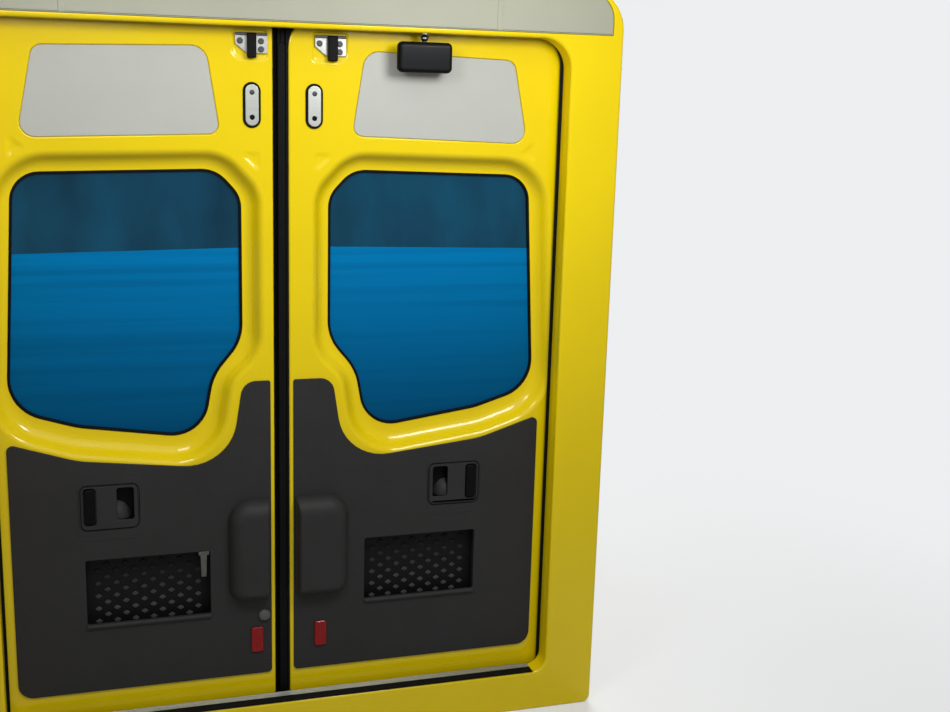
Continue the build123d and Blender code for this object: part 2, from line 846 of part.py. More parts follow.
    # Top latch: bolted steel plate, notched at its left foot, and the black bolt over it
    latch_left = sign * latch_across - latch_width / 2
    latch_right = sign * latch_across + latch_width / 2
    with BuildPart() as top_latch:
        with BuildSketch(wall_plane(door_face)) as latch_plate:
            add(outline((
                (latch_left, latch_top - latch_notch, latch_corner_radius),
                (latch_left, latch_top, latch_corner_radius),
                (latch_right, latch_top, latch_corner_radius),
                (latch_right, latch_top - latch_length, latch_corner_radius),
                (latch_left + latch_chamfer, latch_top - latch_length, latch_corner_radius),
            ), 1))
        extrude(amount=latch_thickness)
        with BuildSketch(wall_plane(door_face - latch_thickness)) as latch_rib:
            with Locations((sign * latch_across, latch_top - latch_bar / 2)):
                Rectangle(latch_width, latch_bar)
        extrude(amount=latch_thickness)
    save(top_latch, f"top_latch_{name}")

    with BuildPart() as latch_bolt:
        bolt_top = latch_top - latch_bar
        with BuildSketch(wall_plane(door_face - latch_thickness)) as bolt_face:
            with Locations((sign * latch_across, (bolt_top + bolt_bottom) / 2)):
                Rectangle(bolt_width, bolt_top - bolt_bottom)
        extrude(amount=bolt_thickness)
    save(latch_bolt, f"latch_bolt_{name}")

    # Oval cover plate on its gasket
    with BuildPart() as oval_gasket:
        with BuildSketch(wall_plane(door_face)) as gasket_face:
            with Locations((sign * oval_across, oval_height)):
                SlotOverall(oval_length, oval_width, rotation=90)
        extrude(amount=gasket_thickness)
    save(oval_gasket, f"oval_gasket_{name}")

    with BuildPart() as oval_plate:
        with BuildSketch(wall_plane(door_face - gasket_thickness)) as oval_face:
            with Locations((sign * oval_across, oval_height)):
                SlotOverall(oval_length - 2 * oval_rim, oval_width - 2 * oval_rim, rotation=90)
        extrude(amount=oval_thickness)
    save(oval_plate, f"oval_plate_{name}")

    # Rubber strip on the free edge; it also fills the rounded head of the pressed panel
    with BuildPart() as edge_seal:
        with BuildSketch(wall_plane(skin_front)) as edge_face:
            edge_middle = sign * (skin_edge + free_edge + head_radius) / 2
            with Locations((edge_middle, (door_top + door_bottom) / 2)):
                Rectangle(free_edge + head_radius - skin_edge, door_top - door_bottom)
            add(outline((
                (free_edge, door_bottom, 0),
                (free_edge, door_top, head_radius),
                (door_outer_edge, door_top, 0),
                (door_outer_edge, door_bottom, 0),
            ), sign), mode=Mode.SUBTRACT)
        extrude(amount=skin_front - door_face)
        front_edge = edge_seal.edges().filter_by(Axis.Z).sort_by(
            lambda edge: sign * edge.center().X + edge.center().Y
        )[0]
        fillet(front_edge, edge_seal_radius)
    save(edge_seal, f"edge_seal_{name}")

    # Hinges: a leaf on the door's skin, a bracket with two lugs and the pin on the pillar
    leaf_front = door_rear
    leaf_rear = door_rear + leaf_thickness
    leaf_near = pin_across - leaf_length
    leaf_far = pin_across - leaf_setback
    with BuildPart() as hinge_leaves:
        for height in hinge_heights:
            with BuildSketch(Plane.XY.offset(height - leaf_height / 2)) as leaf_pad:
                with Locations((
                    sign * (leaf_near + leaf_far) / 2,
                    (leaf_front + leaf_rear) / 2,
                )):
                    Rectangle(leaf_far - leaf_near, leaf_thickness)
            extrude(amount=leaf_height)
            with BuildSketch(Plane.XY.offset(height - knuckle_length / 2)) as knuckle:
                with Locations((
                    sign * (leaf_near + pin_across) / 2,
                    (leaf_front + leaf_rear) / 2,
                )):
                    Rectangle(pin_across - leaf_near, leaf_thickness)
                with Locations((sign * pin_across, pin_axis)):
                    Circle(knuckle_radius)
            extrude(amount=knuckle_length)
        chamfer(
            hinge_leaves.edges().filter_by(Axis.Y).sort_by(lambda edge: sign * edge.center().X)[
                : 2 * len(hinge_heights)
            ],
            leaf_chamfer,
        )
        with BuildSketch(Plane.XY.offset(door_bottom)) as pin_bore:
            with Locations((sign * pin_across, pin_axis)):
                Circle(pin_radius + pin_clearance)
        extrude(amount=door_top - door_bottom, mode=Mode.SUBTRACT)
    save(hinge_leaves, f"hinge_leaves_{name}")

    lug_offset = knuckle_length / 2 + lug_clearance
    bracket_near = pin_across + bracket_inset
    bracket_far = bracket_near + bracket_width
    with BuildPart() as hinge_brackets:
        for height in hinge_heights:
            with BuildSketch(Plane.XY.offset(height - leaf_height / 2)) as bracket_pad:
                with Locations((
                    sign * (bracket_near + bracket_far) / 2,
                    (leaf_front + leaf_rear) / 2,
                )):
                    Rectangle(bracket_far - bracket_near, leaf_thickness)
            extrude(amount=leaf_height)
            for lug_bottom in (height - lug_offset - lug_length, height + lug_offset):
                with BuildSketch(Plane.XY.offset(lug_bottom)) as lug:
                    with Locations((
                        sign * (pin_across + bracket_far) / 2,
                        (leaf_front + leaf_rear) / 2,
                    )):
                        Rectangle(bracket_far - pin_across, leaf_thickness)
                    with Locations((sign * pin_across, pin_axis)):
                        Circle(knuckle_radius)
                extrude(amount=lug_length)
            with BuildSketch(Plane.XY.offset(height - lug_offset - lug_length)) as pin:
                with Locations((sign * pin_across, pin_axis)):
                    Circle(pin_radius)
            extrude(amount=2 * (lug_offset + lug_length))
        chamfer(
            hinge_brackets.edges().filter_by(Axis.Y).sort_by(lambda edge: sign * edge.center().X)[
                -2 * len(hinge_heights) :
            ],
            leaf_chamfer,
        )
    save(hinge_brackets, f"hinge_brackets_{name}")

# Outer handle on the right door: a plate on the skin and a lever on two posts
with BuildPart() as outer_handle:
    with BuildSketch(wall_plane(door_rear + handle_plate_thickness)) as handle_plate:
        with Locations((handle_across, handle_height)):
            RectangleRounded(handle_plate_width, handle_plate_length, lever_width / 2)
    extrude(amount=handle_plate_thickness)
    lever_rear = door_rear + handle_plate_thickness + lever_standoff + lever_thickness
    post_offset = (lever_length - lever_post) / 2
    with BuildSketch(wall_plane(lever_rear)) as posts:
        with Locations((handle_across, handle_height)):
            with GridLocations(0, 2 * post_offset, 1, 2):
                Rectangle(lever_width - 2 * lever_post_inset, lever_post)
    extrude(amount=lever_standoff + lever_thickness)
    with BuildSketch(wall_plane(lever_rear)) as lever:
        with Locations((handle_across, handle_height)):
            RectangleRounded(lever_width, lever_length, lever_width / 3)
    extrude(amount=lever_thickness)
    chamfer(outer_handle.faces().sort_by(Axis.Y)[-1].edges(), lever_chamfer)
save(outer_handle, "outer_handle")
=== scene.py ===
"""Looks of an ambulance's rear doorway: the body ring and its pair of glazed, trimmed doors.

Lengths are in millimetres and become metres when a mesh is made. X runs across the van, Y rearward
to the outside and Z up from the load floor, as in the CAD model.
"""
import math

import bmesh
import bpy
import numpy as np
from mathutils import Matrix, Vector
from mathutils.geometry import tessellate_polygon


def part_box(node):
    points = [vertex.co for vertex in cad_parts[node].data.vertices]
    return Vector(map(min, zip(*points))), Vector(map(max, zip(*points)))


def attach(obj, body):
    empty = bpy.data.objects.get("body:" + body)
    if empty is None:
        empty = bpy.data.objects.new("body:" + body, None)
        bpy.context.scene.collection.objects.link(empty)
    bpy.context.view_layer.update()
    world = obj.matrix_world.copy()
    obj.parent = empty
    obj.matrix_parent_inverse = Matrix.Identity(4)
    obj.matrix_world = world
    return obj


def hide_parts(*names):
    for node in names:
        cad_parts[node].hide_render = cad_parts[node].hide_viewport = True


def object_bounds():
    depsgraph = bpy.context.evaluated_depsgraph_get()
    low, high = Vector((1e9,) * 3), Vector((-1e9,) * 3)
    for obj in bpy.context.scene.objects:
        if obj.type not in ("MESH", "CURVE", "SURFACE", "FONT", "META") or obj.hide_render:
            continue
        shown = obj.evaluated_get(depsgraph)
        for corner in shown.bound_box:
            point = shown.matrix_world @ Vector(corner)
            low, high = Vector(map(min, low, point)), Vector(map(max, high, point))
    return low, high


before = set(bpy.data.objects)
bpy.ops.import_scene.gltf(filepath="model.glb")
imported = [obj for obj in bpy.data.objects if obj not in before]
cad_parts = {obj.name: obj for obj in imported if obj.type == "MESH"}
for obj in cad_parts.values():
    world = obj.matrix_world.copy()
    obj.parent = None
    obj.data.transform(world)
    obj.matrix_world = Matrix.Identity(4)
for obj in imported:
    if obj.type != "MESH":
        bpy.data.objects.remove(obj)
cad_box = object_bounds()

# Camera: stands in the load space left of the middle at eye height, and looks back and down at the
# doors. Its field of view, place and angles were fitted to straight edges of the doorway.
eye = Vector((-0.5433, -3.2196, 1.7049))
yaw, pitch, roll = math.radians(18.01), math.radians(12.28), math.radians(-1.69)
lens_pixels, image_width, sensor = 1258.5, 950, 36
camera_data = bpy.data.cameras.new("camera")
camera_data.sensor_width = sensor
camera_data.lens = sensor * lens_pixels / image_width
camera = bpy.data.objects.new("camera", camera_data)
bpy.context.collection.objects.link(camera)
camera.matrix_world = (
    Matrix.Translation(eye)
    @ Matrix.Rotation(-yaw, 4, "Z")
    @ Matrix.Rotation(math.pi / 2 - pitch, 4, "X")
    @ Matrix.Rotation(-roll, 4, "Z")
)
bpy.context.scene.camera = camera


# Studio: a pale floor at the foot of the ring, a pale surround and soft lamps. Two small ones and a
# wide one hang inside at ceiling height, as in a van, so that slopes that face down fall into shade
# and edges catch the light. One more stands behind the doors.
def linear(code):
    """Linear colour of an sRGB hex code: c / 12.92 up to 0.04045, else ((c + 0.055) / 1.055) ** 2.4."""
    channel = np.array([int(code[i : i + 2], 16) for i in (0, 2, 4)]) / 255
    bright = ((channel + 0.055) / 1.055) ** 2.4
    return (*np.where(channel <= 0.04045, channel / 12.92, bright).tolist(), 1.0)


def connect(node, inputs):
    """Give a shader node its inputs: a socket, or a node's first output, is linked; else it is a value."""
    for name, value in inputs.items():
        source = value.outputs[0] if isinstance(value, bpy.types.Node) else value
        if isinstance(source, bpy.types.NodeSocket):
            node.id_data.links.new(source, node.inputs[name])
        else:
            node.inputs[name].default_value = source


def add(tree, kind, inputs=None, **settings):
    """Add one shader node with its settings and its inputs."""
    node = tree.nodes.new("ShaderNode" + kind)
    for name, value in settings.items():
        setattr(node, name, value)
    connect(node, inputs or {})
    return node


def start(name, **values):
    """New material whose Principled shader has these values, with its tree, shader and Object coordinates."""
    finish = bpy.data.materials.new(name)
    finish.use_nodes = True
    tree = finish.node_tree
    shader = tree.nodes["Principled BSDF"]
    connect(shader, {socket.replace("_", " "): value for socket, value in values.items()})
    return finish, tree, shader, add(tree, "TexCoord").outputs["Object"]


def lamp(name, place, aim, size, watts):
    """Square soft lamp at one point, turned to another; the camera doesn't see it."""
    data = bpy.data.lights.new(name, "AREA")
    data.size = size
    data.energy = watts
    light = bpy.data.objects.new(name, data)
    light.visible_camera = False
    bpy.context.collection.objects.link(light)
    place, aim = Vector(place), Vector(aim)
    turn = (aim - place).to_track_quat("-Z", "Y").to_matrix().to_4x4()
    light.matrix_world = Matrix.Translation(place) @ turn


def as_seen(tree):
    """Strength of the pale surround: full to the camera and through glass, less in gloss and as light."""
    in_gloss, as_light = 0.44, 0.2
    path = add(tree, "LightPath").outputs
    seen = add(tree, "Math", {0: path["Is Camera Ray"], 1: path["Is Transmission Ray"]}, operation="MAXIMUM")
    gloss_share = (in_gloss - as_light) / (1 - as_light)
    mirrored = add(tree, "Math", {0: path["Is Glossy Ray"], 1: gloss_share}, operation="MULTIPLY")
    share = add(tree, "Math", {0: seen, 1: mirrored}, operation="MAXIMUM")
    return add(tree, "MapRange", {"Value": share, "To Min": as_light})


floor_level, floor_reach = cad_box[0].z, 40
floor_mesh = bpy.data.meshes.new("floor")
floor_mesh.from_pydata(
    [(x * floor_reach, y * floor_reach, floor_level) for x, y in ((-1, -1), (1, -1), (1, 1), (-1, 1))],
    [],
    [(0, 1, 2, 3)],
)
floor = bpy.data.objects.new("floor", floor_mesh)
bpy.context.collection.objects.link(floor)
# Painted floor: matt and pale, fading into the surround far from the doorway so that no horizon shows.
pale, fade_start, fade_end, fade_least = linear("EDEFF0"), 1.0, 3.4, 0.35
floor_finish, tree, shader, coords = start("painted_studio_floor", Base_Color=linear("F0F1F0"), Roughness=0.9)
reach = add(tree, "VectorMath", {0: coords}, operation="LENGTH").outputs["Value"]
haze = add(
    tree, "MapRange", {"Value": reach, "From Min": fade_start, "From Max": fade_end, "To Min": fade_least},
    interpolation_type="SMOOTHSTEP",
)
glow = add(tree, "Emission", {"Color": pale, "Strength": as_seen(tree)})
faded = add(tree, "MixShader", {"Fac": haze, 1: shader, 2: glow})
connect(tree.nodes["Material Output"], {"Surface": faded})
floor_mesh.materials.append(floor_finish)

world = bpy.data.worlds.new("studio")
bpy.context.scene.world = world
world.use_nodes = True
connect(world.node_tree.nodes["Background"], {"Color": pale, "Strength": as_seen(world.node_tree)})

lamp("near_left", (-0.5, -1.1, 2.05), (-0.3, 0.1, 0.9), 0.45, 7)
lamp("near_right", (0.6, -1.1, 2.05), (0.4, 0.1, 0.9), 0.45, 11.5)
lamp("ceiling", (0.1, -1.9, 2.75), (0.0, -0.3, 0.9), 2.4, 19.5)
lamp("rear", (1.6, 3.4, 3.2), (0.0, 0.1, 0.9), 2.4, 150)
bpy.context.scene.view_settings.view_transform = "Standard"


# Body ring: header, two posts and sill, pressed from sheet steel, spot-welded into one stepped frame
# and painted with the body. The step behind the opening takes the seal and houses the doors' edges.
def rounded(rows, sign=1, steps=10, closed=True):
    """Line through corners (across, height, radius), each one an arc. The arc's centre is on the corner's
    bisector, radius / sin(half the angle) away. The outward normal turns evenly from one side's to the
    next one's, and a point is centre + radius * normal, or minus it at a hollow corner. A closed line runs
    anticlockwise seen from the load space. Gives points and normals."""
    rows = np.array(rows, float) * (sign, 1, 1)
    x, z = rows[:, 0], rows[:, 1]
    if closed and np.sum(x * np.roll(z, -1) - z * np.roll(x, -1)) < 0:
        rows = rows[::-1]
    corner, radius = rows[:, :2], rows[:, 2]
    ahead = np.roll(corner, -1, 0) - corner
    ahead /= np.linalg.norm(ahead, axis=1, keepdims=True)
    behind = -np.roll(ahead, 1, 0)
    heading = np.arctan2(-behind[:, 1], -behind[:, 0])
    turn = (np.arctan2(ahead[:, 1], ahead[:, 0]) - heading + math.pi) % (2 * math.pi) - math.pi
    angle = heading[:, None] - math.pi / 2 + turn[:, None] * np.linspace(0, 1, steps + 1)
    normal = np.stack([np.cos(angle), np.sin(angle)], -1)
    half_sine = np.sqrt((1 - np.sum(ahead * behind, 1)) / 2)
    bisector = ahead + behind
    bisector /= np.maximum(np.linalg.norm(bisector, axis=1, keepdims=True), 1e-9)
    centre = corner + bisector * (radius / half_sine)[:, None]
    points = centre[:, None] + (np.sign(turn) * radius)[:, None, None] * normal
    points, normal = points.reshape(-1, 2), normal.reshape(-1, 2)
    return (points, normal) if closed else (points[steps:-steps], normal[steps:-steps])


def rectangle(left, right, low, high, radii, sign=1, steps=10):
    """Rounded rectangle; four radii go round from the lower left corner to the upper left one."""
    corners = np.array([(left, low), (right, low), (right, high), (left, high)], float)
    return rounded(np.column_stack([corners, np.broadcast_to(radii, 4)]), sign, steps)


def bent(*rows, steps=5):
    """Open profile through (offset, depth, radius) rows, its inner corners rounded."""
    return rounded(rows, steps=steps, closed=False)[0]


def moved(line, offset):
    """Points of a closed line shifted along its normals."""
    return line[0] + line[1] * offset


def loft(rings, closed=False):
    """Quads between rings with equally many points; a closed loft joins the last ring to the first."""
    count, around = rings.shape[:2]
    index = np.arange(count * around).reshape(count, around)
    index = np.concatenate([index, index[:1]]) if closed else index
    index = np.concatenate([index, index[:, :1]], 1)
    quads = np.stack([index[:-1, :-1], index[:-1, 1:], index[1:, 1:], index[1:, :-1]], -1)
    return rings.reshape(-1, 3), quads.reshape(-1, 4)


def raised(points, depth):
    """Points (across, height) of one or more rings, taken to a depth."""
    level = np.broadcast_to(depth, points.shape[:-1])
    return np.stack([points[..., 0], level, points[..., 1]], -1)


def band(line, profile, closed=False):
    """Profile carried round a closed line: a point is line + normal * offset, at the profile's depth."""
    offset, depth = np.array(profile, float).T[:, :, None]
    return loft(raised(line[0][None] + line[1][None] * offset[..., None], depth), closed)


def flat(depth, *loops):
    """Flat face at one depth, inside the first loop and outside the others, cut into triangles."""
    loops = [loop[np.linalg.norm(loop - np.roll(loop, 1, 0), axis=1) > 1e-6] for loop in loops]
    triangles = np.array(tessellate_polygon([loop.tolist() for loop in loops]))
    return raised(np.concatenate(loops), depth), triangles


def well(line, brim, bottom):
    """Straight-sided pocket from one depth to another, with its floor."""
    return [band(line, [(0, brim), (0, bottom)]), flat(bottom, line[0])]


def piece(name, parts, finish, body, slot, *stands_for, sharp=35):
    """Parts in millimetres joined into one closed mesh in metres whose faces point outward."""
    firsts = np.cumsum([0] + [len(vertices) for vertices, faces in parts])
    vertices = np.concatenate([vertices for vertices, faces in parts]) / 1000
    faces = [face for (_, faces), first in zip(parts, firsts) for face in (faces + first).tolist()]
    mesh = bpy.data.meshes.new(name)
    mesh.from_pydata(vertices.tolist(), [], faces)
    work = bmesh.new()
    work.from_mesh(mesh)
    bmesh.ops.remove_doubles(work, verts=work.verts, dist=5e-6)
    bmesh.ops.recalc_face_normals(work, faces=work.faces)
    work.to_mesh(mesh)
    work.free()
    return finished(name, mesh, finish, body, stands_for, sharp)


def finished(name, mesh, finish, body, stands_for, sharp):
    """Object from a mesh, smooth up to the sharp angle, that rides on a body and stands for CAD nodes."""
    mesh.materials.clear()
    mesh.materials.append(finish)
    mesh.shade_smooth()
    mesh.set_sharp_from_angle(angle=math.radians(sharp))
    shape = bpy.data.objects.new(name, mesh)
    bpy.context.collection.objects.link(shape)
    shape.modifiers.new("weighted_normals", "WEIGHTED_NORMAL").keep_sharp = True
    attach(shape, body)
    if stands_for:
        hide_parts(*stands_for)
    return shape


# Signal-yellow enamel, sprayed and baked: a glossy clear skin over the colour, with the faint waviness
# of sprayed paint, drawn 12 mm wide so that it shows, and a slight cloudiness from hand polishing.
# A pattern's scale is the number of its cells in a metre, 1000 / their width in millimetres.
enamel, tree, shader, coords = start(
    "signal_yellow_enamel", Roughness=0.4, Specular_IOR_Level=0.05, Coat_Weight=0.65, Coat_Roughness=0.08,
)
cloud = add(tree, "TexNoise", {"Vector": coords, "Scale": 1000 / 222, "Detail": 3.0})
tone = add(tree, "MixRGB", {"Fac": cloud, "Color1": linear("F0D300"), "Color2": linear("E6CA00")})
peel = add(tree, "TexNoise", {"Vector": coords, "Scale": 1000 / 12, "Detail": 1.0})
relief = add(tree, "Bump", {"Height": peel, "Strength": 0.12, "Distance": 0.0006})
connect(shader, {"Base Color": tone, "Normal": relief, "Coat Normal": relief})

opening_half, opening_head = 752, 1824
ring_half, ring_foot, ring_head = 900, -120, 1960
step_depth = 1000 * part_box("aperture_seal")[0].y
ring_rear = 1000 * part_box("header")[1].y
cover_floor, lamp_floor = 12, ring_rear - 12
ring_outside = rectangle(-ring_half, ring_half, ring_foot, ring_head, (24, 24, 110, 110))
opening = rectangle(-opening_half, opening_half, 0, opening_head, (40, 40, 80, 80))
housing = rectangle(-812, 812, -50, 1855, (35, 35, 65, 65))
cover_seat = rectangle(-870, 870, 1836, 1946, (4, 4, 70, 70))
lamp_seats = [rectangle(823, 889, 500, 880, 12, sign) for sign in (-1, 1)]
lamp_seats.append(rectangle(-130, 130, 1900, 1930, 15))
# Width of the rounded rim that joins each wall of the ring to the flat faces beside it
outer_rim, opening_rim, seal_rim, housing_rim = 8, 10, 5, 6
ring_parts = [
    band(ring_outside, bent((-outer_rim, 0, 0), (0, 0, 6), (0, ring_rear, 6), (-outer_rim, ring_rear, 0))),
    band(opening, bent((opening_rim, 0, 0), (0, 0, 8), (0, step_depth, 3), (seal_rim, step_depth, 0))),
    band(housing, bent((0, step_depth, 0), (0, ring_rear, 4), (housing_rim, ring_rear, 0))),
    flat(0, moved(ring_outside, -outer_rim), moved(opening, opening_rim), cover_seat[0]),
    flat(step_depth, housing[0], moved(opening, seal_rim)),
    flat(
        ring_rear, moved(ring_outside, -outer_rim), moved(housing, housing_rim),
        *[seat[0] for seat in lamp_seats],
    ),
    *well(cover_seat, 0, cover_floor),
]
for seat in lamp_seats:
    ring_parts += well(seat, ring_rear, lamp_floor)
piece(
    "body_ring", ring_parts,
    enamel, "frame", "yellow_paint", "header", "pillar_left", "pillar_right", "sill",
)


# Header cover: pale grey ABS lining panel, vacuum-formed and pushed into the header, its joints
# covered by slim snap-in strips.
def slab(line, profile):
    """Solid whose edge is a profile carried round a line, with flat faces inside its first and last rows."""
    (first, front), (last, back) = profile[0], profile[-1]
    return [band(line, profile), flat(front, moved(line, first)), flat(back, moved(line, last))]


# Pale ABS with the fine matt grain that its mould was etched with, drawn 4 mm wide so that it shows.
pale_abs, tree, shader, coords = start("pale_grey_abs", Roughness=0.52, Specular_IOR_Level=0.4)
cloud = add(tree, "TexNoise", {"Vector": coords, "Scale": 1000 / 167, "Detail": 4.0})
tone = add(tree, "MixRGB", {"Fac": cloud, "Color1": linear("A7A895"), "Color2": linear("9C9D8B")})
grain = add(tree, "TexNoise", {"Vector": coords, "Scale": 1000 / 4, "Detail": 2.0})
relief = add(tree, "Bump", {"Height": grain, "Strength": 0.2, "Distance": 0.0004})
connect(shader, {"Base Color": tone, "Normal": relief})

sides = (("left", -1), ("right", 1))
lining_front, strip_across, strip_half = 1.5, 546, 7
lining_edge = bent(
    (-5, lining_front, 0), (-0.8, lining_front, 3), (-0.8, cover_floor, 0), (-4, cover_floor, 0),
)
piece("header_lining", slab(cover_seat, lining_edge), pale_abs, "frame", "grey_cover", "header_cover")
for side, sign in sides:
    strip = rectangle(strip_across - strip_half, strip_across + strip_half, 1838, 1944, 2, sign, steps=4)
    strip_edge = bent((-1.6, 0.1, 0), (0, 0.1, 1.2), (0, 3, 0), (-1.6, 3, 0), steps=3)
    piece("lining_joint_" + side, slab(strip, strip_edge), pale_abs, "frame", "grey_cover")


# Closing seal: one loop of extruded EPDM rubber with a soft bulb, pushed on the ring's step. The
# closed doors lie against it all round.
def between(inner, outer):
    """Line on which an offset is the share of the way from the inner points to the outer ones."""
    return inner, outer - inner


# EPDM rubber, extruded and cured: nearly black, with a soft sheen and a faint bloom of dust.
rubber, tree, shader, coords = start("extruded_epdm", Roughness=0.6, Specular_IOR_Level=0.1)
dust = add(tree, "TexNoise", {"Vector": coords, "Scale": 1000 / 16.7, "Detail": 5.0})
tone = add(tree, "MixRGB", {"Fac": dust, "Color1": linear("060707"), "Color2": linear("0F1011")})
relief = add(tree, "Bump", {"Height": dust, "Strength": 0.15, "Distance": 0.0005})
connect(shader, {"Base Color": tone, "Normal": relief})

seal_inside = rectangle(-744, 744, -2, 1827, (20, 20, 73, 73))
seal_outside = rectangle(-775, 775, -18, 1836, (40, 40, 80, 80))
# Rows: share of the way from the seal's inner line to its outer one, and depth
bulb = [
    (0, 60), (0, 64), (0.06, 68), (0.18, 71), (0.36, 72),
    (0.55, 71.6), (0.72, 69), (0.86, 66), (1, 65), (1, 60),
]
piece(
    "closing_seal", [band(between(seal_inside[0], seal_outside[0]), bulb, closed=True)],
    rubber, "frame", "black_rubber", "aperture_seal", sharp=50,
)


# Sill tread: a ribbed mat cut from extruded rubber, and behind it a grooved edging cut from extruded
# aluminium. Both are glued on the sill, side by side.
def prism(loop, low, high, order):
    """Closed loop run straight from low to high; order names the loop's axes and the run's, as in YZX."""
    loop = loop[np.linalg.norm(loop - np.roll(loop, 1, 0), axis=1) > 1e-6]
    count = len(loop)
    ends = [np.column_stack([loop, np.full(count, float(level))]) for level in (low, high)]
    vertices = np.concatenate(ends)[:, [order.index(axis) for axis in "XYZ"]]
    index = np.arange(count)
    walls = np.stack([index, np.roll(index, -1), np.roll(index, -1) + count, index + count], -1)
    caps = np.array(tessellate_polygon([loop.tolist()]))
    return [(vertices, walls), (vertices, caps), (vertices, caps + count)]


# The mat's ribs are rounded: base + rise * sqrt(abs(sin(pi * distance / pitch))).
tread_half = 712
mat_front, mat_rear, mat_base, rib_rise, rib_pitch = 1.2, 32.8, 1.7, 1.25, 3.95
along = np.linspace(mat_front, mat_rear, 97)
ribs = mat_base + rib_rise * np.sqrt(np.abs(np.sin(math.pi * (along - mat_front) / rib_pitch)))
mat_loop = np.concatenate([[(mat_front, 0)], np.column_stack([along, ribs]), [(mat_rear, 0)]])
piece(
    "ribbed_mat", prism(mat_loop, -tread_half, tread_half, "YZX"),
    rubber, "frame", "black_rubber", "sill_mat", sharp=50,
)

# Anodised aluminium, extruded: satin grey metal, its length drawn by the die with fine lines about
# 1 mm apart and 125 mm long.
anodised, tree, shader, coords = start("satin_anodised_aluminium", Metallic=1.0, Roughness=0.38)
stretch = add(tree, "Mapping", {"Vector": coords, "Scale": (1000 / 125, 1000 / 1.11, 1000 / 1.11)})
lines = add(tree, "TexNoise", {"Vector": stretch, "Scale": 1.0, "Detail": 2.0})
tone = add(tree, "MixRGB", {"Fac": lines, "Color1": linear("BFC1BC"), "Color2": linear("A5A7A2")})
relief = add(tree, "Bump", {"Height": lines, "Strength": 0.12, "Distance": 0.0003})
connect(shader, {"Base Color": tone, "Normal": relief})

edging_front, edging_rear, edging_top, groove_floor = 33, 60, 3, 2
groove_half, groove_pitch, groove_count = 1.5, 5.4, 4
edging = [(edging_front, 0, 0), (edging_front, edging_top, 0.7)]
for groove in range(1, groove_count + 1):
    middle = edging_front + groove_pitch * groove
    near, far = middle - groove_half, middle + groove_half
    edging += [(near, edging_top, 0.3), (near, groove_floor, 0.3)]
    edging += [(far, groove_floor, 0.3), (far, edging_top, 0.3)]
edging += [(edging_rear, edging_top, 0.7), (edging_rear, 0, 0)]
piece(
    "tread_edging", prism(rounded(edging, steps=3)[0], -tread_half, tread_half, "YZX"),
    anodised, "frame", "satin_metal", "threshold_strip",
)


# Strikers: zinc-plated steel seats, each with a hardened bar, at the head and foot of each door. They
# are bolted to the header and the sill, and the latches close on them.
def dressed(name, node, radius, finish, body):
    """Merged copy of a CAD node's shape, its flat faces made whole and its sharp edges rounded. No edge
    is marked sharp, because the bevel rounds them all."""
    work = bmesh.new()
    work.from_mesh(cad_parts[node].data)
    bmesh.ops.remove_doubles(work, verts=work.verts, dist=1e-5)
    bmesh.ops.dissolve_limit(work, angle_limit=math.radians(0.5), verts=work.verts, edges=work.edges)
    mesh = bpy.data.meshes.new(name)
    work.to_mesh(mesh)
    work.free()
    shape = finished(name, mesh, finish, body, (node,), 180)
    shape.modifiers.clear()
    bevel = shape.modifiers.new("edge_rounding", "BEVEL")
    bevel.limit_method = "ANGLE"
    bevel.angle_limit = math.radians(35)
    bevel.width = radius / 1000
    bevel.segments = 2
    bevel.use_clamp_overlap = False
    bevel.miter_outer = "MITER_ARC"
    shape.modifiers.new("weighted_normals", "WEIGHTED_NORMAL").keep_sharp = True


# Zinc-plated steel: pressed sheet with a pale bright plating, mottled in spangles 9 mm wide.
zinc, tree, shader, coords = start("zinc_plated_steel", Metallic=1.0)
spangle = add(tree, "TexVoronoi", {"Vector": coords, "Scale": 1000 / 9})
tone = add(tree, "MixRGB", {"Fac": spangle, "Color1": linear("ACADA8"), "Color2": linear("8F918C")})
wear = add(tree, "TexNoise", {"Vector": coords, "Scale": 1000 / 8.33, "Detail": 4.0})
gloss = add(tree, "MapRange", {"Value": wear, "To Min": 0.28, "To Max": 0.5})
relief = add(tree, "Bump", {"Height": wear, "Strength": 0.15, "Distance": 0.0003})
connect(shader, {"Base Color": tone, "Roughness": gloss, "Normal": relief})

dressed("striker_set", "strikers", 0.8, zinc, "frame")

# Reversing monitor: small case moulded in black ABS, with a glossy screen let into its front. It
# hangs from the header on a ball stem, so that it can be turned.
# Black ABS, moulded with a spark-eroded grain drawn 3 mm wide, which keeps its highlights soft.
black_abs, tree, shader, coords = start("black_grained_abs", Roughness=0.5, Specular_IOR_Level=0.1)
grain = add(tree, "TexNoise", {"Vector": coords, "Scale": 1000 / 3, "Detail": 2.0})
tone = add(tree, "MixRGB", {"Fac": grain, "Color1": linear("040404"), "Color2": linear("0A0A0B")})
relief = add(tree, "Bump", {"Height": grain, "Strength": 0.25, "Distance": 0.0004})
connect(shader, {"Base Color": tone, "Normal": relief})

# Screen glass: polished and black behind, with a faint blue-grey cast where the display lies.
screen_glass, tree, shader, coords = start(
    "black_screen_glass", Roughness=0.12, Specular_IOR_Level=0.3, Coat_Weight=0.4, Coat_Roughness=0.04,
)
cast = add(tree, "TexNoise", {"Vector": coords, "Scale": 1000 / 50})
tone = add(tree, "MixRGB", {"Fac": cast, "Color1": linear("07080A"), "Color2": linear("0D1014")})
connect(shader, {"Base Color": tone})

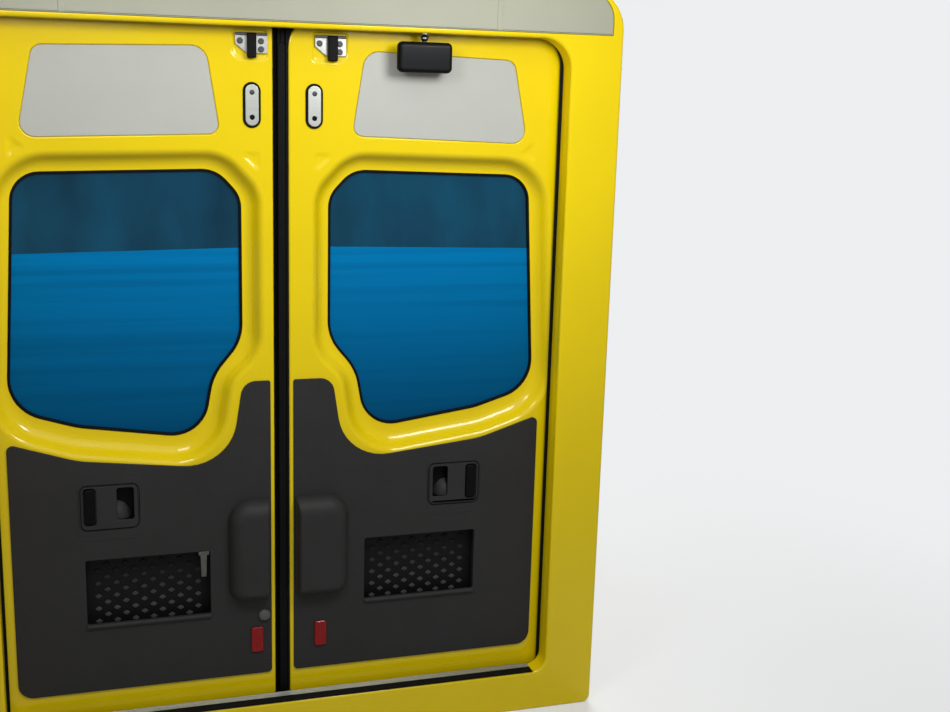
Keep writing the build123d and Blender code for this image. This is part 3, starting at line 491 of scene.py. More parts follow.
case = rectangle(276, 422, 1724, 1802, 14)
case_edge = bent((-13, 7.2, 0), (-5, 7.6, 6), (0, 15, 9), (0, 28, 12), (-8, 43, 10), (-13, 47.5, 0))
piece("monitor_case", slab(case, case_edge), black_abs, "frame", "black_plastic", "monitor")
screen = rectangle(286, 412, 1734, 1792, 3, steps=4)
screen_edge = [(-0.5, 6.4), (0, 6.7), (0, 8.2)]
piece("monitor_screen", slab(screen, screen_edge), screen_glass, "frame", "black_plastic")


def turned(centre, profile, axis="Y", steps=24):
    """Profile of (radius, distance) rows turned about an axis through the centre: a point is centre +
    radius * (cos angle, sin angle) + distance along the axis."""
    radius, along = np.array(profile, float).T
    angle = np.linspace(0, 2 * math.pi, steps, endpoint=False)
    first, second = np.cos(angle) * radius[:, None], np.sin(angle) * radius[:, None]
    level = np.broadcast_to(along[:, None], first.shape)
    columns = {"Y": (first, level, second), "Z": (first, second, level)}[axis]
    return loft(np.stack(columns, -1) + centre)


# Black chrome: plated smooth over plastic, dark grey but mirror-bright where a lamp strikes it.
black_chrome, tree, shader, coords = start("black_chrome_plating", Metallic=1.0)
touch = add(tree, "TexNoise", {"Vector": coords, "Scale": 1000 / 11.1, "Detail": 3.0})
gloss = add(tree, "MapRange", {"Value": touch, "To Min": 0.14, "To Max": 0.3})
tone = add(tree, "MixRGB", {"Fac": touch, "Color1": linear("8E9092"), "Color2": linear("6C6E70")})
connect(shader, {"Base Color": tone, "Roughness": gloss})

# The stem's profile: a foot on the case, a ball a quarter lower than it is wide, and a plate above.
stem_place, ball_radius, ball_height, ball_squash = (349, 27, 0), 11, 1811.5, 0.75
sweep = np.radians(np.linspace(-46, 62, 10))
ball = np.column_stack([ball_radius * np.cos(sweep), ball_height + ball_squash * ball_radius * np.sin(sweep)])
stem = [(0, 1800), (9, 1800), (9, 1802.5), (5, 1803), *ball]
stem += [(6, 1819.5), (15, 1820.5), (16, 1821.5), (16, 1824), (0, 1824)]
piece(
    "monitor_ball_stem", [turned(stem_place, stem, "Z", 28)],
    black_chrome, "frame", "black_plastic", "monitor_stem",
)


# Inner door panels: deep-drawn sheet steel, dished round the window, with a seat for the blanking
# panel, a pressed seat round the latch, stiffening dimples and an opening behind the trim.
def arched(start, bend, end, steps=10):
    """Rings from start to end on Bezier curves: (1 - t)^2 * start + 2 * t * (1 - t) * bend + t^2 * end."""
    t = np.linspace(0, 1, steps)[:, None, None]
    return (1 - t) ** 2 * start + 2 * t * (1 - t) * bend + t**2 * end


def pressed(line, top, depth):
    """Soft slope pressed into a face along a line: top + depth * (1 - cos(pi * share)) / 2."""
    share = np.linspace(0, 1, 11)
    return band(line, np.column_stack([share, top + depth * (1 - np.cos(math.pi * share)) / 2]))


face = 1000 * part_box("top_latch_left")[1].y
panel_rear = 1000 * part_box("edge_seal_left")[1].y
door_outer, door_head, door_foot, panel_rim = 807, 1850, -45, 6.5
notch_half, notch_depth = 20, 14
dish_floor, blank_floor = face + 40, face + 6
dimple_depth, seat_depth, blank_rim = 3, 3.6, 4
# The metal round the window ends 3 mm inside the window's line, under the rubber. The dish's slope
# starts on its floor, 0.85 of the way from the dish's line to that edge. It is straight 14 mm outside
# the line, would meet the face at 24 mm, and has flattened out into it at 35 mm.
under_rubber, slope_foot, slope_middle, slope_top, slope_end = -3, 0.85, 14, 24, 35
window_rows = [
    (115, 1010, 130), (115, 1396, 80), (180, 1467, 85), (683, 1455, 75),
    (718, 845, 110), (545, 790, 250), (224, 743, 95), (193, 915, 150),
]
dish_rows = [
    (95, 988, 100), (95, 1403, 85), (172, 1487, 95), (700, 1475, 112),
    (734, 811, 130), (550, 750, 250), (207, 702, 110), (171, 917, 120),
]
blank_rows = [(171, 1556, 26), (205, 1776, 44), (618, 1764, 30), (662, 1541, 36)]
# Deepest point, then the corners of the brim; the dimple's flat bottom is a fifth of the brim's size.
dimple_rows = (
    ((86.5, 1494.5, 0), [(65, 1443, 12), (65, 1516, 14), (140, 1516, 12)]),
    ((669.6, 1518.5, 0), [(632, 1515, 12), (688, 1562, 12), (694, 1480, 12)]),
)
# Side, sign, free edge, head radius, latch middle, left and right ends of the latch's pressed seat, and
# the radii of the seat's lower corners, of which the one towards the door's outer side is wide
door_sides = (
    ("left", -1, 37, 12, 91, -145, -47.5, (30, 12)),
    ("right", 1, 3, 66, 112, 61, 161, (12, 30)),
)
for side, sign, free_edge, head_radius, latch_across, seat_left, seat_right, foot_radii in door_sides:
    near, far = latch_across - notch_half, latch_across + notch_half
    head_notch, foot_notch = door_head - notch_depth, door_foot + notch_depth
    perimeter = rounded([
        (free_edge, door_foot, 10), (free_edge, door_head, head_radius),
        (near, door_head, 7), (near, head_notch, 3), (far, head_notch, 3), (far, door_head, 7),
        (door_outer, door_head, 60), (door_outer, door_foot, 30),
        (far, door_foot, 7), (far, foot_notch, 3), (near, foot_notch, 3), (near, door_foot, 7),
    ], sign)
    window, dish, blank = rounded(window_rows, sign), rounded(dish_rows, sign), rounded(blank_rows, sign)
    metal_edge = moved(window, under_rubber)
    latch_seat = rectangle(seat_left, seat_right, 1738, 1819, (*foot_radii, 10, 10))
    floor_radii = (foot_radii[0] - 6, foot_radii[1] - 6, 6, 6)
    latch_floor = rectangle(seat_left + 12, seat_right - 8, 1753, 1815, floor_radii)
    cavity = rounded([
        (free_edge + 29, 78, 30), (free_edge + 29, 575, 30), (183, 575, 20),
        (392, 656, 40), (704, 656, 30), (704, 78, 30),
    ], sign)
    foot = dish[0] + slope_foot * (metal_edge - dish[0])
    middle_depth = dish_floor + slope_middle / slope_top * (face - dish_floor)
    middle = raised(moved(dish, slope_middle), middle_depth)
    panel_parts = [
        band(perimeter, bent((-panel_rim, face, 0), (0, face, 6), (0, panel_rear, 0))),
        band(window, [(under_rubber, panel_rear), (under_rubber, dish_floor)]),
        flat(dish_floor, foot, metal_edge),
        loft(np.concatenate([
            arched(raised(foot, dish_floor), raised(dish[0], dish_floor), middle),
            arched(middle, raised(moved(dish, slope_top), face), raised(moved(dish, slope_end), face))[1:],
        ])),
        band(blank, bent((blank_rim, face, 0), (0, face, 3), (0, blank_floor, 0))),
        flat(blank_floor, blank[0]),
        pressed(between(latch_seat[0], latch_floor[0]), face, seat_depth),
        flat(face + seat_depth, latch_floor[0]),
        band(cavity, [(0, face), (0, panel_rear)]),
        flat(panel_rear, perimeter[0], metal_edge, cavity[0]),
    ]
    brims = []
    for deepest, corners in dimple_rows:
        shrunk = np.array(deepest) + 0.2 * (np.array(corners) - deepest)
        brim, bottom = rounded(corners, sign)[0], rounded(shrunk, sign)[0]
        panel_parts += [pressed(between(brim, bottom), face, dimple_depth), flat(face + dimple_depth, bottom)]
        brims.append(brim)
    panel_parts.append(flat(
        face, moved(perimeter, -panel_rim), moved(dish, slope_end), moved(blank, blank_rim),
        latch_seat[0], cavity[0], *brims,
    ))
    piece("inner_panel_" + side, panel_parts, enamel, "door_" + side, "yellow_paint", "door_panel_" + side)

# Outer door skins: sheet steel hemmed over the inner panels and painted, with a rebate that the
# glass is bonded into and a shallow pressed field under the window against drumming.
skin_front = panel_rear
skin_rear = 1000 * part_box("hinge_leaves_left")[0].y
glass_bed, field_top = skin_rear - 6, skin_rear + 3
hem_rim, pane_rim, field_rim, field_slope = 5.5, 2, 3, 9
pane_rows = [(92, 723, 70), (92, 1490, 90), (706, 1476, 70), (736, 778, 90), (480, 723, 300)]
for side, sign, skin_edge in (("left", -1, 15), ("right", 1, -3)):
    hem = rounded([
        (skin_edge, door_foot, 6), (skin_edge, door_head, 12),
        (door_outer, door_head, 60), (door_outer, door_foot, 30),
    ], sign)
    window, pane = rounded(window_rows, sign), rounded(pane_rows, sign)
    field = rounded([(70, 20, 60), (70, 680, 60), (690, 680, 60), (690, 20, 60)], sign, steps=16)
    field_edge = bent(
        (field_rim, skin_rear, 0), (0, skin_rear, 4), (-5.2, field_top, 4), (-field_slope, field_top, 0),
    )
    skin_parts = [
        flat(skin_front, hem[0], moved(window, under_rubber)),
        band(hem, bent((0, skin_front, 0), (0, skin_rear, 5), (-hem_rim, skin_rear, 0))),
        flat(skin_rear, moved(hem, -hem_rim), moved(pane, pane_rim), moved(field, field_rim)),
        band(pane, bent((pane_rim, skin_rear, 0), (0, skin_rear, 1.5), (0, glass_bed, 0))),
        flat(glass_bed, pane[0], moved(window, under_rubber)),
        band(window, [(under_rubber, glass_bed), (under_rubber, skin_front)]),
        band(field, field_edge),
        flat(field_top, moved(field, -field_slope)),
    ]
    piece("outer_skin_" + side, skin_parts, enamel, "door_" + side, "yellow_paint", "door_skin_" + side)

# Door glass: toughened, tinted dark, bonded into the outer skin from outside; a black ceramic border
# is fired on its rim and hides the adhesive.
# Dark teal glass: polished float glass, tinted through, that shows the surround only dimly. Soft upright
# patches about 125 mm wide and 310 mm high are painted into its colour as a painted reflection of the
# surround.
tinted_glass, tree, shader, coords = start(
    "dark_tinted_glass", Roughness=0.03, IOR=1.52, Transmission_Weight=0.3, Specular_IOR_Level=0.15,
)
upright = add(tree, "Mapping", {"Vector": coords, "Scale": (1000 / 125, 1000 / 625, 1000 / 312.5)})
ripple_and_reflection = add(tree, "TexNoise", {"Vector": upright, "Scale": 1.0, "Detail": 3.0})
# Painted reflection: the patches lighten and darken the glass's colour as a reflection of the surround would.
painted_reflection_patch = add(tree, "MapRange", {"Value": ripple_and_reflection, "From Min": 0.3, "From Max": 0.7})
tone = add(tree, "MixRGB", {"Fac": painted_reflection_patch, "Color1": linear("0A5170"), "Color2": linear("053A52")})
relief = add(tree, "Bump", {"Height": ripple_and_reflection, "Strength": 0.1, "Distance": 0.002})
connect(shader, {"Base Color": tone, "Normal": relief})

# Fired ceramic border: matt black enamel on the glass, a little rough from its screen print.
frit, tree, shader, coords = start("fired_black_ceramic", Roughness=0.45, Coat_Weight=0.4, Coat_Roughness=0.1)
specks = add(tree, "TexNoise", {"Vector": coords, "Scale": 1000 / 2.5, "Detail": 2.0})
tone = add(tree, "MixRGB", {"Fac": specks, "Color1": linear("090A0B"), "Color2": linear("131416")})
connect(shader, {"Base Color": tone})

pane_front, pane_rear = glass_bed, skin_rear - 1
pane_edge = bent(
    (-3, pane_front, 0), (-1, pane_front, 0.8), (-1, pane_rear, 0.8), (-3, pane_rear, 0), steps=3,
)
border_front, border_rear, border_outer, border_inner = pane_rear - 0.05, pane_rear + 0.3, -3.5, -8
for side, sign in sides:
    window, pane = rounded(window_rows, sign), rounded(pane_rows, sign)
    piece(
        "door_glass_" + side, slab(pane, pane_edge),
        tinted_glass, "door_" + side, "tinted_glass", "glass_" + side,
    )
    outer, inner = moved(pane, border_outer), moved(window, border_inner)
    border_parts = [
        flat(border_front, outer, inner),
        flat(border_rear, outer, inner),
        band(pane, [(border_outer, border_front), (border_outer, border_rear)]),
        band(window, [(border_inner, border_front), (border_inner, border_rear)]),
    ]
    piece("glass_border_" + side, border_parts, frit, "door_" + side, "tinted_glass")

# Privacy film: blue translucent vinyl stuck inside the lower two thirds of each glass, cut a few
# millimetres short of the rubber.
# Blue vinyl: satin, lighter towards its upper edge, with the faint level streaks that the squeegee
# left, drawn about 24 mm wide and 1.4 m long so that they show.
deepest_at, lightest_at = 0.74, 1.26
vinyl, tree, shader, coords = start("blue_privacy_vinyl", Roughness=0.4, Specular_IOR_Level=0.06)
height = add(tree, "SeparateXYZ", {"Vector": coords}).outputs["Z"]
fade = add(tree, "MapRange", {"Value": height, "From Min": deepest_at, "From Max": lightest_at})
tone = add(tree, "MixRGB", {"Fac": fade, "Color1": linear("004A73"), "Color2": linear("0078B5")})
stretch = add(tree, "Mapping", {"Vector": coords, "Scale": (1000 / 1430, 1.0, 1000 / 23.8)})
streak = add(tree, "TexNoise", {"Vector": stretch, "Scale": 1.0, "Detail": 2.0})
line = add(tree, "MapRange", {"Value": streak, "From Min": 0.45, "From Max": 0.7, "To Max": 0.3})
streaked = add(tree, "MixRGB", {"Fac": line, "Color1": tone, "Color2": linear("00466C")})
connect(shader, {"Base Color": streaked})

# The film's cut edge is 1259 mm up at the window's inner side and falls 18.3 mm a metre outwards. The
# rest of its edge is the stretch of the window's line that lies below the cut.
film_front, film_rear, film_margin = pane_front - 0.5, pane_front - 0.05, 7.5
film_top, film_inner, film_fall = 1259, 115, 0.0183
for side, sign in sides:
    edge = moved(rounded(window_rows, sign), -film_margin)
    above = edge[:, 1] - film_top + film_fall * (np.abs(edge[:, 0]) - film_inner)
    first = int(np.flatnonzero((above < 0) & (np.roll(above, 1) >= 0))[0])
    edge, above = np.roll(edge, -first, 0), np.roll(above, -first)
    kept = int(np.sum(above < 0))
    ends = [
        edge[low] + (edge[high] - edge[low]) * above[low] / (above[low] - above[high])
        for low, high in ((0, -1), (kept - 1, kept))
    ]
    film = np.concatenate([[ends[0]], edge[:kept], [ends[1]]])
    piece(
        "privacy_film_" + side, slab((film, np.zeros_like(film)), [(0, film_front), (0, film_rear)]),
        vinyl, "door_" + side, "tinted_glass",
    )

# Glazing rubber: one moulded EPDM frame for each window, pushed in between the dished panel and the
# glass. Its round lip covers the cut edge of the metal.
lip = [
    (-7, pane_front), (under_rubber, pane_front), (under_rubber, dish_floor), (-0.8, dish_floor),
    (-0.2, dish_floor - 0.5), (-0.4, dish_floor - 1.3), (-1.5, dish_floor - 1.9), (-4.5, dish_floor - 2),
    (-6.3, dish_floor - 1.6), (-7, dish_floor - 0.4),
]
for side, sign in sides:
    piece(
        "glazing_frame_" + side, [band(rounded(window_rows, sign), lip, closed=True)],
        rubber, "door_" + side, "black_rubber", "glazing_rubber_" + side, sharp=50,
    )

# Blanking panels: plates cut from grey laminate, their edges softened, let into the door heads in
# place of upper windows and glued in their seats.
# Satin laminate: pale grey melamine face, almost even, with faint cleaning marks 200 mm wide.
laminate, tree, shader, coords = start("pale_grey_laminate", Roughness=0.4, Specular_IOR_Level=0.4)
smear = add(tree, "TexNoise", {"Vector": coords, "Scale": 1000 / 200, "Detail": 5.0, "Roughness": 0.6})
tone = add(tree, "MixRGB", {"Fac": smear, "Color1": linear("BABCB5"), "Color2": linear("AEB0A9")})
gloss = add(tree, "MapRange", {"Value": smear, "To Min": 0.34, "To Max": 0.5})
connect(shader, {"Base Color": tone, "Roughness": gloss})

blank_front = face + 2
blank_edge = bent((-5, blank_front, 0), (-1, blank_front, 2), (-1, blank_floor, 0), (-5, blank_floor, 0))
for side, sign in sides:
    piece(
        "blanking_plate_" + side, slab(rounded(blank_rows, sign), blank_edge),
        laminate, "door_" + side, "grey_panel", "blank_panel_" + side,
    )

# Lower door trim: one large moulding clipped over the panel, with the map pocket, its rolled lip
# and the housing that covers the lock.
# Dark grained moulding: talc-filled polypropylene with a pebbled grain, drawn 5 mm wide so that it
# shows, and scuffed paler where kit rubs it.
moulding, tree, shader, coords = start("dark_grained_polypropylene", Specular_IOR_Level=0.2)
pebble = add(
    tree, "TexVoronoi", {"Vector": coords, "Scale": 1000 / 5, "Smoothness": 0.6}, feature="SMOOTH_F1",
)
scuff = add(tree, "TexNoise", {"Vector": coords, "Scale": 1000 / 143, "Detail": 6.0, "Roughness": 0.65})
tone = add(tree, "MixRGB", {"Fac": scuff, "Color1": linear("2A2929"), "Color2": linear("343333")})
gloss = add(tree, "MapRange", {"Value": scuff, "To Min": 0.5, "To Max": 0.66})
relief = add(tree, "Bump", {"Height": pebble, "Strength": 0.35, "Distance": 0.0006})
connect(shader, {"Base Color": tone, "Roughness": gloss, "Normal": relief})

trim_front = 1000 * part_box("reflector_left")[1].y
pocket_floor, pocket_rear = face + 36, face + 40
pocket_left, pocket_right = 215, 540
trim_rim, hole_rim, mouth_rim = 3, 1.2, 2
# The pocket's lip is a round roll along the foot of its mouth.
lip_radius, lip_height = 7, 248
around = np.linspace(0, 2 * math.pi, 24, endpoint=False)
circle = np.column_stack([np.cos(around), np.sin(around)])
lip_roll = circle * lip_radius + (trim_front, lip_height)
# The housing's shoulder rises from its foot on the trim to its crest on a quarter of an ellipse.
housing_foot, housing_crest = trim_front + 2, trim_front - 43
quarter = np.linspace(0, math.pi / 2, 13)
shoulder = np.column_stack([1 - np.cos(quarter), trim_front + (housing_crest - trim_front) * np.sin(quarter)])
for side, sign, trim_edge in (("left", -1, 48), ("right", 1, 14)):
    trim_line = rounded([
        (trim_edge, 60, 12), (trim_edge, 906, 6), (121, 906, 40), (158, 667, 130),
        (548, 711, 300), (722, 768, 15), (722, 60, 40),
    ], sign)
    handle_hole = rectangle(399, 549, 496, 656, 14, sign, steps=6)
    mouth = rectangle(pocket_left, pocket_right, 255, 436, 5, sign, steps=6)
    inside = rectangle(209, 546, 149, 437, 6, sign, steps=6)
    outside = rectangle(205, 550, 145, 441, 8, sign, steps=6)
    base = rectangle(trim_edge + 4, 165, 290, 575, (8, 34, 60, 8), sign)
    crest = rectangle(trim_edge + 17, 126, 316, 529, (4, 12, 20, 4), sign)
    trim_parts = [
        band(trim_line, bent((-trim_rim, trim_front, 0), (0, trim_front, 2), (0, face, 0))),
        flat(trim_front, moved(trim_line, -trim_rim), moved(handle_hole, hole_rim), moved(mouth, mouth_rim)),
        band(handle_hole, [(hole_rim, trim_front), (0, trim_front + hole_rim), (0, face)]),
        band(mouth, bent((mouth_rim, trim_front, 0), (0, trim_front, 2), (0, face, 0))),
        flat(face, trim_line[0], handle_hole[0], outside[0]),
        flat(face, inside[0], mouth[0]),
        *well(inside, face, pocket_floor),
        *well(outside, face, pocket_rear),
        band(between(base[0], crest[0]), [(0, housing_foot), *shoulder]),
        flat(housing_crest, crest[0]),
        flat(housing_foot, base[0]),
        *prism(lip_roll, *sorted((sign * pocket_left, sign * pocket_right)), "YZX"),
    ]
    piece("lower_trim_" + side, trim_parts, moulding, "door_" + side, "dark_trim", "trim_" + side)

# Pull handle: a tray behind the trim with a grooved frame, a bar across it, a scooped well for the
# fingers at the inner end and a release paddle at the outer one.
flange_front, flange_rear, recess, tray_rear = 71.2, 72, 69.4, 109
groove_bottom, slot_bottom, gap_bottom = 76, 100, 78
groove_edge = bent(
    (3, flange_front, 0), (1.4, groove_bottom, 1.2), (-1.6, groove_bottom, 1.2),
    (-2.4, recess, 1.5), (-6, recess, 0),
)
# The well's liner is a thin black cup: painted shade, standing for the shadow inside the slot.
shade_liner_front, shade_liner_rear, shade_liner_wall = 74, 99.9, 0.4
shade_liner_bottom = shade_liner_rear - shade_liner_wall
shade_liner_edge = [(0, shade_liner_rear), (0, shade_liner_front), (-shade_liner_wall, shade_liner_front), (-shade_liner_wall, shade_liner_bottom)]
# The ramp under the fingers falls away from the well's outer lower corner: its top is next to a point
# there, and its foot is a quarter of an ellipse.
ramp_corner, ramp_tip, ramp_reach, ramp_rear = np.array([454.3, 545.7]), 0.1, (36, 45), 99
fan = np.column_stack([-np.cos(quarter), np.sin(quarter)])
ramp_slope = [(0, ramp_rear), (0, 76), (0.39, 76.5), (0.7, 82), (1, 98), (1, ramp_rear)]
for side, sign in sides:
    flange = rectangle(394, 554, 491, 661, 19, sign)
    tray = rectangle(399.5, 548.5, 496.5, 655.5, 13, sign)
    groove = rounded([(399, 521, 18), (399, 642, 16), (548, 642, 16), (548, 520, 18)], sign)
    slot = rectangle(411, 455, 545, 634, 7, sign)
    paddle_gap = rectangle(507, 541, 533, 636, 10, sign)
    tray_parts = [
        band(flange, bent((-2, flange_front, 0), (0, flange_front, 0.8), (0, flange_rear, 0))),
        flat(flange_front, moved(flange, -2), moved(groove, 3)),
        band(groove, groove_edge),
        flat(recess, moved(groove, -6), moved(slot, 1.5), moved(paddle_gap, 1)),
        band(slot, bent((1.5, recess, 0), (0, recess, 1.5), (0, slot_bottom, 0))),
        flat(slot_bottom, slot[0]),
        band(paddle_gap, bent((1, recess, 0), (0, recess, 1), (0, gap_bottom, 0))),
        flat(gap_bottom, paddle_gap[0]),
        flat(flange_rear, flange[0], tray[0]),
        *well(tray, flange_rear, tray_rear),
    ]
    piece("handle_tray_" + side, tray_parts, moulding, "door_" + side, "dark_trim", "pull_handle_" + side)
    shade_liner_parts = [
        band(slot, shade_liner_edge),
        flat(shade_liner_bottom, moved(slot, -shade_liner_wall)),
        flat(shade_liner_rear, slot[0]),
    ]
    # Painted shade: the black cup darkens the finger slot as its own shadow would.
    piece("grip_well_shade_" + side, shade_liner_parts, black_abs, "door_" + side, "dark_trim")
    ramp_top, ramp_foot = [
        np.vstack([ramp_corner, ramp_corner + fan * size]) * (sign, 1) for size in (ramp_tip, ramp_reach)
    ]
    ramp_parts = [band(between(ramp_top, ramp_foot), ramp_slope), flat(ramp_rear, ramp_foot)]
    piece("grip_ramp_" + side, ramp_parts, moulding, "door_" + side, "dark_trim")
    paddle = rectangle(510.5, 537.5, 536.5, 632.5, 8, sign)
    paddle_edge = bent((-7, 69.2, 0), (0, 70.6, 3), (0, 77, 0), (-7, 77, 0))
    piece("release_paddle_" + side, slab(paddle, paddle_edge), black_abs, "door_" + side, "dark_trim")

# Small fittings on the left door's trim: a round grey buffer low by the lock, and a T-shaped clip at
# the pocket's mouth.
# Grey polyamide: plain moulded nylon, dulled unevenly by handling.
nylon, tree, shader, coords = start("grey_polyamide", Roughness=0.5, Specular_IOR_Level=0.25)
handling = add(tree, "TexNoise", {"Vector": coords, "Scale": 1000 / 16.7, "Detail": 4.0})
tone = add(tree, "MixRGB", {"Fac": handling, "Color1": linear("64665F"), "Color2": linear("4C4E49")})
connect(shader, {"Base Color": tone})

buffer_profile = [(0, 73), (16, 73), (16, 67), (14.5, 64), (11, 62.5), (5, 62), (0, 62)]
piece("trim_buffer_left", [turned((-69, 0, 236), buffer_profile)], nylon, "door_left", "dark_trim")
clip = rounded([
    (-246, 436, 2), (-246, 426, 2), (-241, 426, 2), (-239, 364, 3),
    (-226, 364, 3), (-224, 426, 2), (-218, 426, 2), (-218, 436, 2),
], steps=4)
clip_edge = bent((-1.5, 70.5, 0), (0, 70.5, 1), (0, 73.5, 0), (-1.5, 73.5, 0))
piece("pocket_clip_left", slab(clip, clip_edge), nylon, "door_left", "dark_trim")

# Map pocket's back: black panel with rows of raised oval-cornered studs that grip papers.
# Soft black panel: matt thermoplastic rubber. The crowns of the lower studs are painted paler as a painted
# highlight, and the upper studs are left black as painted shade.
backing_front, backing_rear, stud_front = 110, 113, 107.2
stud_root, painted_shade_above, painted_light_below = backing_front - 0.5, 400, 280
soft_panel, tree, shader, coords = start("soft_black_elastomer", Roughness=0.6, Specular_IOR_Level=0.2)
# Painted light: the studs' crowns are painted paler, but only low down, where light reaches into the pocket;
# higher up they stay black as in shade.
position = add(tree, "SeparateXYZ", {"Vector": coords}).outputs
crown_highlight_range = {"From Min": stud_root / 1000, "From Max": stud_front / 1000}
crown_highlight = add(tree, "MapRange", {"Value": position["Y"], **crown_highlight_range})
lower_light_range = {"From Min": painted_shade_above / 1000, "From Max": painted_light_below / 1000}
lower_painted_light = add(tree, "MapRange", {"Value": position["Z"], **lower_light_range})
share = add(tree, "Math", {0: crown_highlight, 1: lower_painted_light}, operation="MULTIPLY")
tone = add(tree, "MixRGB", {"Fac": share, "Color1": linear("090909"), "Color2": linear("4A4A49")})
connect(shader, {"Base Color": tone})

stud_columns, stud_rows, stud_pitch_x, stud_pitch_z = 6, 5, 48, 36
pocket_across, pocket_height = (pocket_left + pocket_right) / 2, 346
stud_edge = [(0, backing_front + 1), (0, 109), (-0.8, 107.8), (-2.2, stud_front)]
diamond, diamond_normals = rounded([(-12, 0, 3), (0, -8, 3), (12, 0, 3), (0, 8, 3)], steps=3)
columns, rows = np.meshgrid(np.arange(stud_columns) - 2.5, np.arange(stud_rows) - 2.5)
for side, sign in sides:
    backing = rectangle(210, 545, 150, 436, 2, sign, steps=3)
    pocket_parts = slab(backing, [(-0.6, backing_front), (0, backing_front + 0.6), (0, backing_rear)])
    for shift in (-1, 1):
        across = sign * pocket_across + (columns.ravel() + shift / 4) * stud_pitch_x
        heights = pocket_height + (rows.ravel() + shift / 4) * stud_pitch_z
        for place in np.column_stack([across, heights]):
            pocket_parts += slab((diamond + place, diamond_normals), stud_edge)
    piece(
        "pocket_back_" + side, pocket_parts,
        soft_panel, "door_" + side, "pocket_mat", "pocket_grid_" + side,
    )

# Door reflectors: plates moulded in red acrylic, with prisms on their backs and a slim rim, glued low
# on the trim near the doors' free edges.
# Red acrylic: clear and deep, with a honeycomb of prisms 6 mm wide behind a polished face.
prisms, tree, shader, coords = start(
    "red_prism_acrylic", Roughness=0.2, Specular_IOR_Level=0.15, Coat_Weight=0.25, Coat_Roughness=0.03,
)
comb = add(tree, "TexVoronoi", {"Vector": coords, "Scale": 1000 / 6, "Randomness": 0.0}, feature="F1")
tone = add(tree, "MixRGB", {"Fac": comb, "Color1": linear("A8100F"), "Color2": linear("4A0305")})
relief = add(tree, "Bump", {"Height": comb, "Strength": 0.5, "Distance": 0.001})
connect(shader, {"Base Color": tone, "Normal": relief})

prism_edge = bent((-5.5, 66.6, 0), (-2.5, 66, 1.5), (0, 68, 2), (0, 72, 0), (-5.5, 72, 0))
for side, sign in sides:
    piece(
        "door_reflector_" + side, slab(rectangle(72, 106, 127, 201, 6, sign), prism_edge),
        prisms, "door_" + side, "red_lens", "reflector_" + side,
    )

# Top latches: thick zinc-plated plates bolted in their pressed seats, one hand for both doors, with
# three bolts and the black nylon tongue of the latch hanging over the lower edge.
# Dark bolt steel: phosphated, so grey-black and only faintly shiny, with a crystalline grain 2 mm wide.
phosphated, tree, shader, coords = start("phosphated_bolt_steel", Metallic=0.8, Roughness=0.48)
crystal = add(tree, "TexNoise", {"Vector": coords, "Scale": 1000 / 2, "Detail": 2.0})
tone = add(tree, "MixRGB", {"Fac": crystal, "Color1": linear("3A3B3C"), "Color2": linear("57585A")})
connect(shader, {"Base Color": tone})

plate_front, plate_rear = 73.2, face + seat_depth
rib_front, rib_rear, tongue_front, tongue_rear = 69, 75, 60, 74
plate_edge = bent(
    (-2.5, plate_front, 0), (0, plate_front, 1.2), (0, plate_rear, 0), (-2.5, plate_rear, 0), steps=3,
)
rib_edge = bent((-2, rib_front, 0), (0, rib_front, 1.2), (0, rib_rear, 0), (-2, rib_rear, 0), steps=3)
tongue_edge = bent((-3, tongue_front, 0), (0, tongue_front, 3), (0, tongue_rear, 0), (-3, tongue_rear, 0))
bolt_profile = [
    (0, 74), (8, 74), (8, 72.6), (6, 72.3), (6, 69.4), (5.4, 68.8), (3, 68.8), (2.8, 70.6), (0, 70.6),
]
bolt_places = ((-29, 1790), (24, 1790), (24, 1770))
# Side, middle of the plate, and the tongue's left and right edges and foot
latch_sides = (("left", -91, -103, -80, 1748), ("right", 112, 104, 129, 1746))
for side, middle, tongue_left, tongue_right, tongue_foot in latch_sides:
    left, right = middle - 41, middle + 41
    plate = rounded([
        (left, 1782, 4), (left + 28, 1759, 4), (right, 1759, 4), (right, 1811, 4), (left, 1811, 4),
    ])
    rib = rectangle(left + 1, right - 1, 1803.5, 1811, (2, 2, 3, 3), steps=4)
    tongue = rectangle(tongue_left, tongue_right, tongue_foot, 1810, (4, 4, 3, 3), steps=5)
    piece(
        "latch_plate_" + side, slab(plate, plate_edge),
        zinc, "door_" + side, "zinc_steel", "top_latch_" + side,
    )
    # Painted shade: the rib along each plate's top gets the dark phosphated finish, standing for the shadow
    # that lies along the top of the plate.
    piece("shaded_latch_rib_" + side, slab(rib, rib_edge), phosphated, "door_" + side, "zinc_steel")
    piece(
        "latch_tongue_" + side, slab(tongue, tongue_edge),
        black_abs, "door_" + side, "black_plastic", "latch_bolt_" + side,
    )
    bolt_parts = [turned((middle + across, 0, height), bolt_profile) for across, height in bolt_places]
    piece("latch_bolts_" + side, bolt_parts, phosphated, "door_" + side, "zinc_steel")

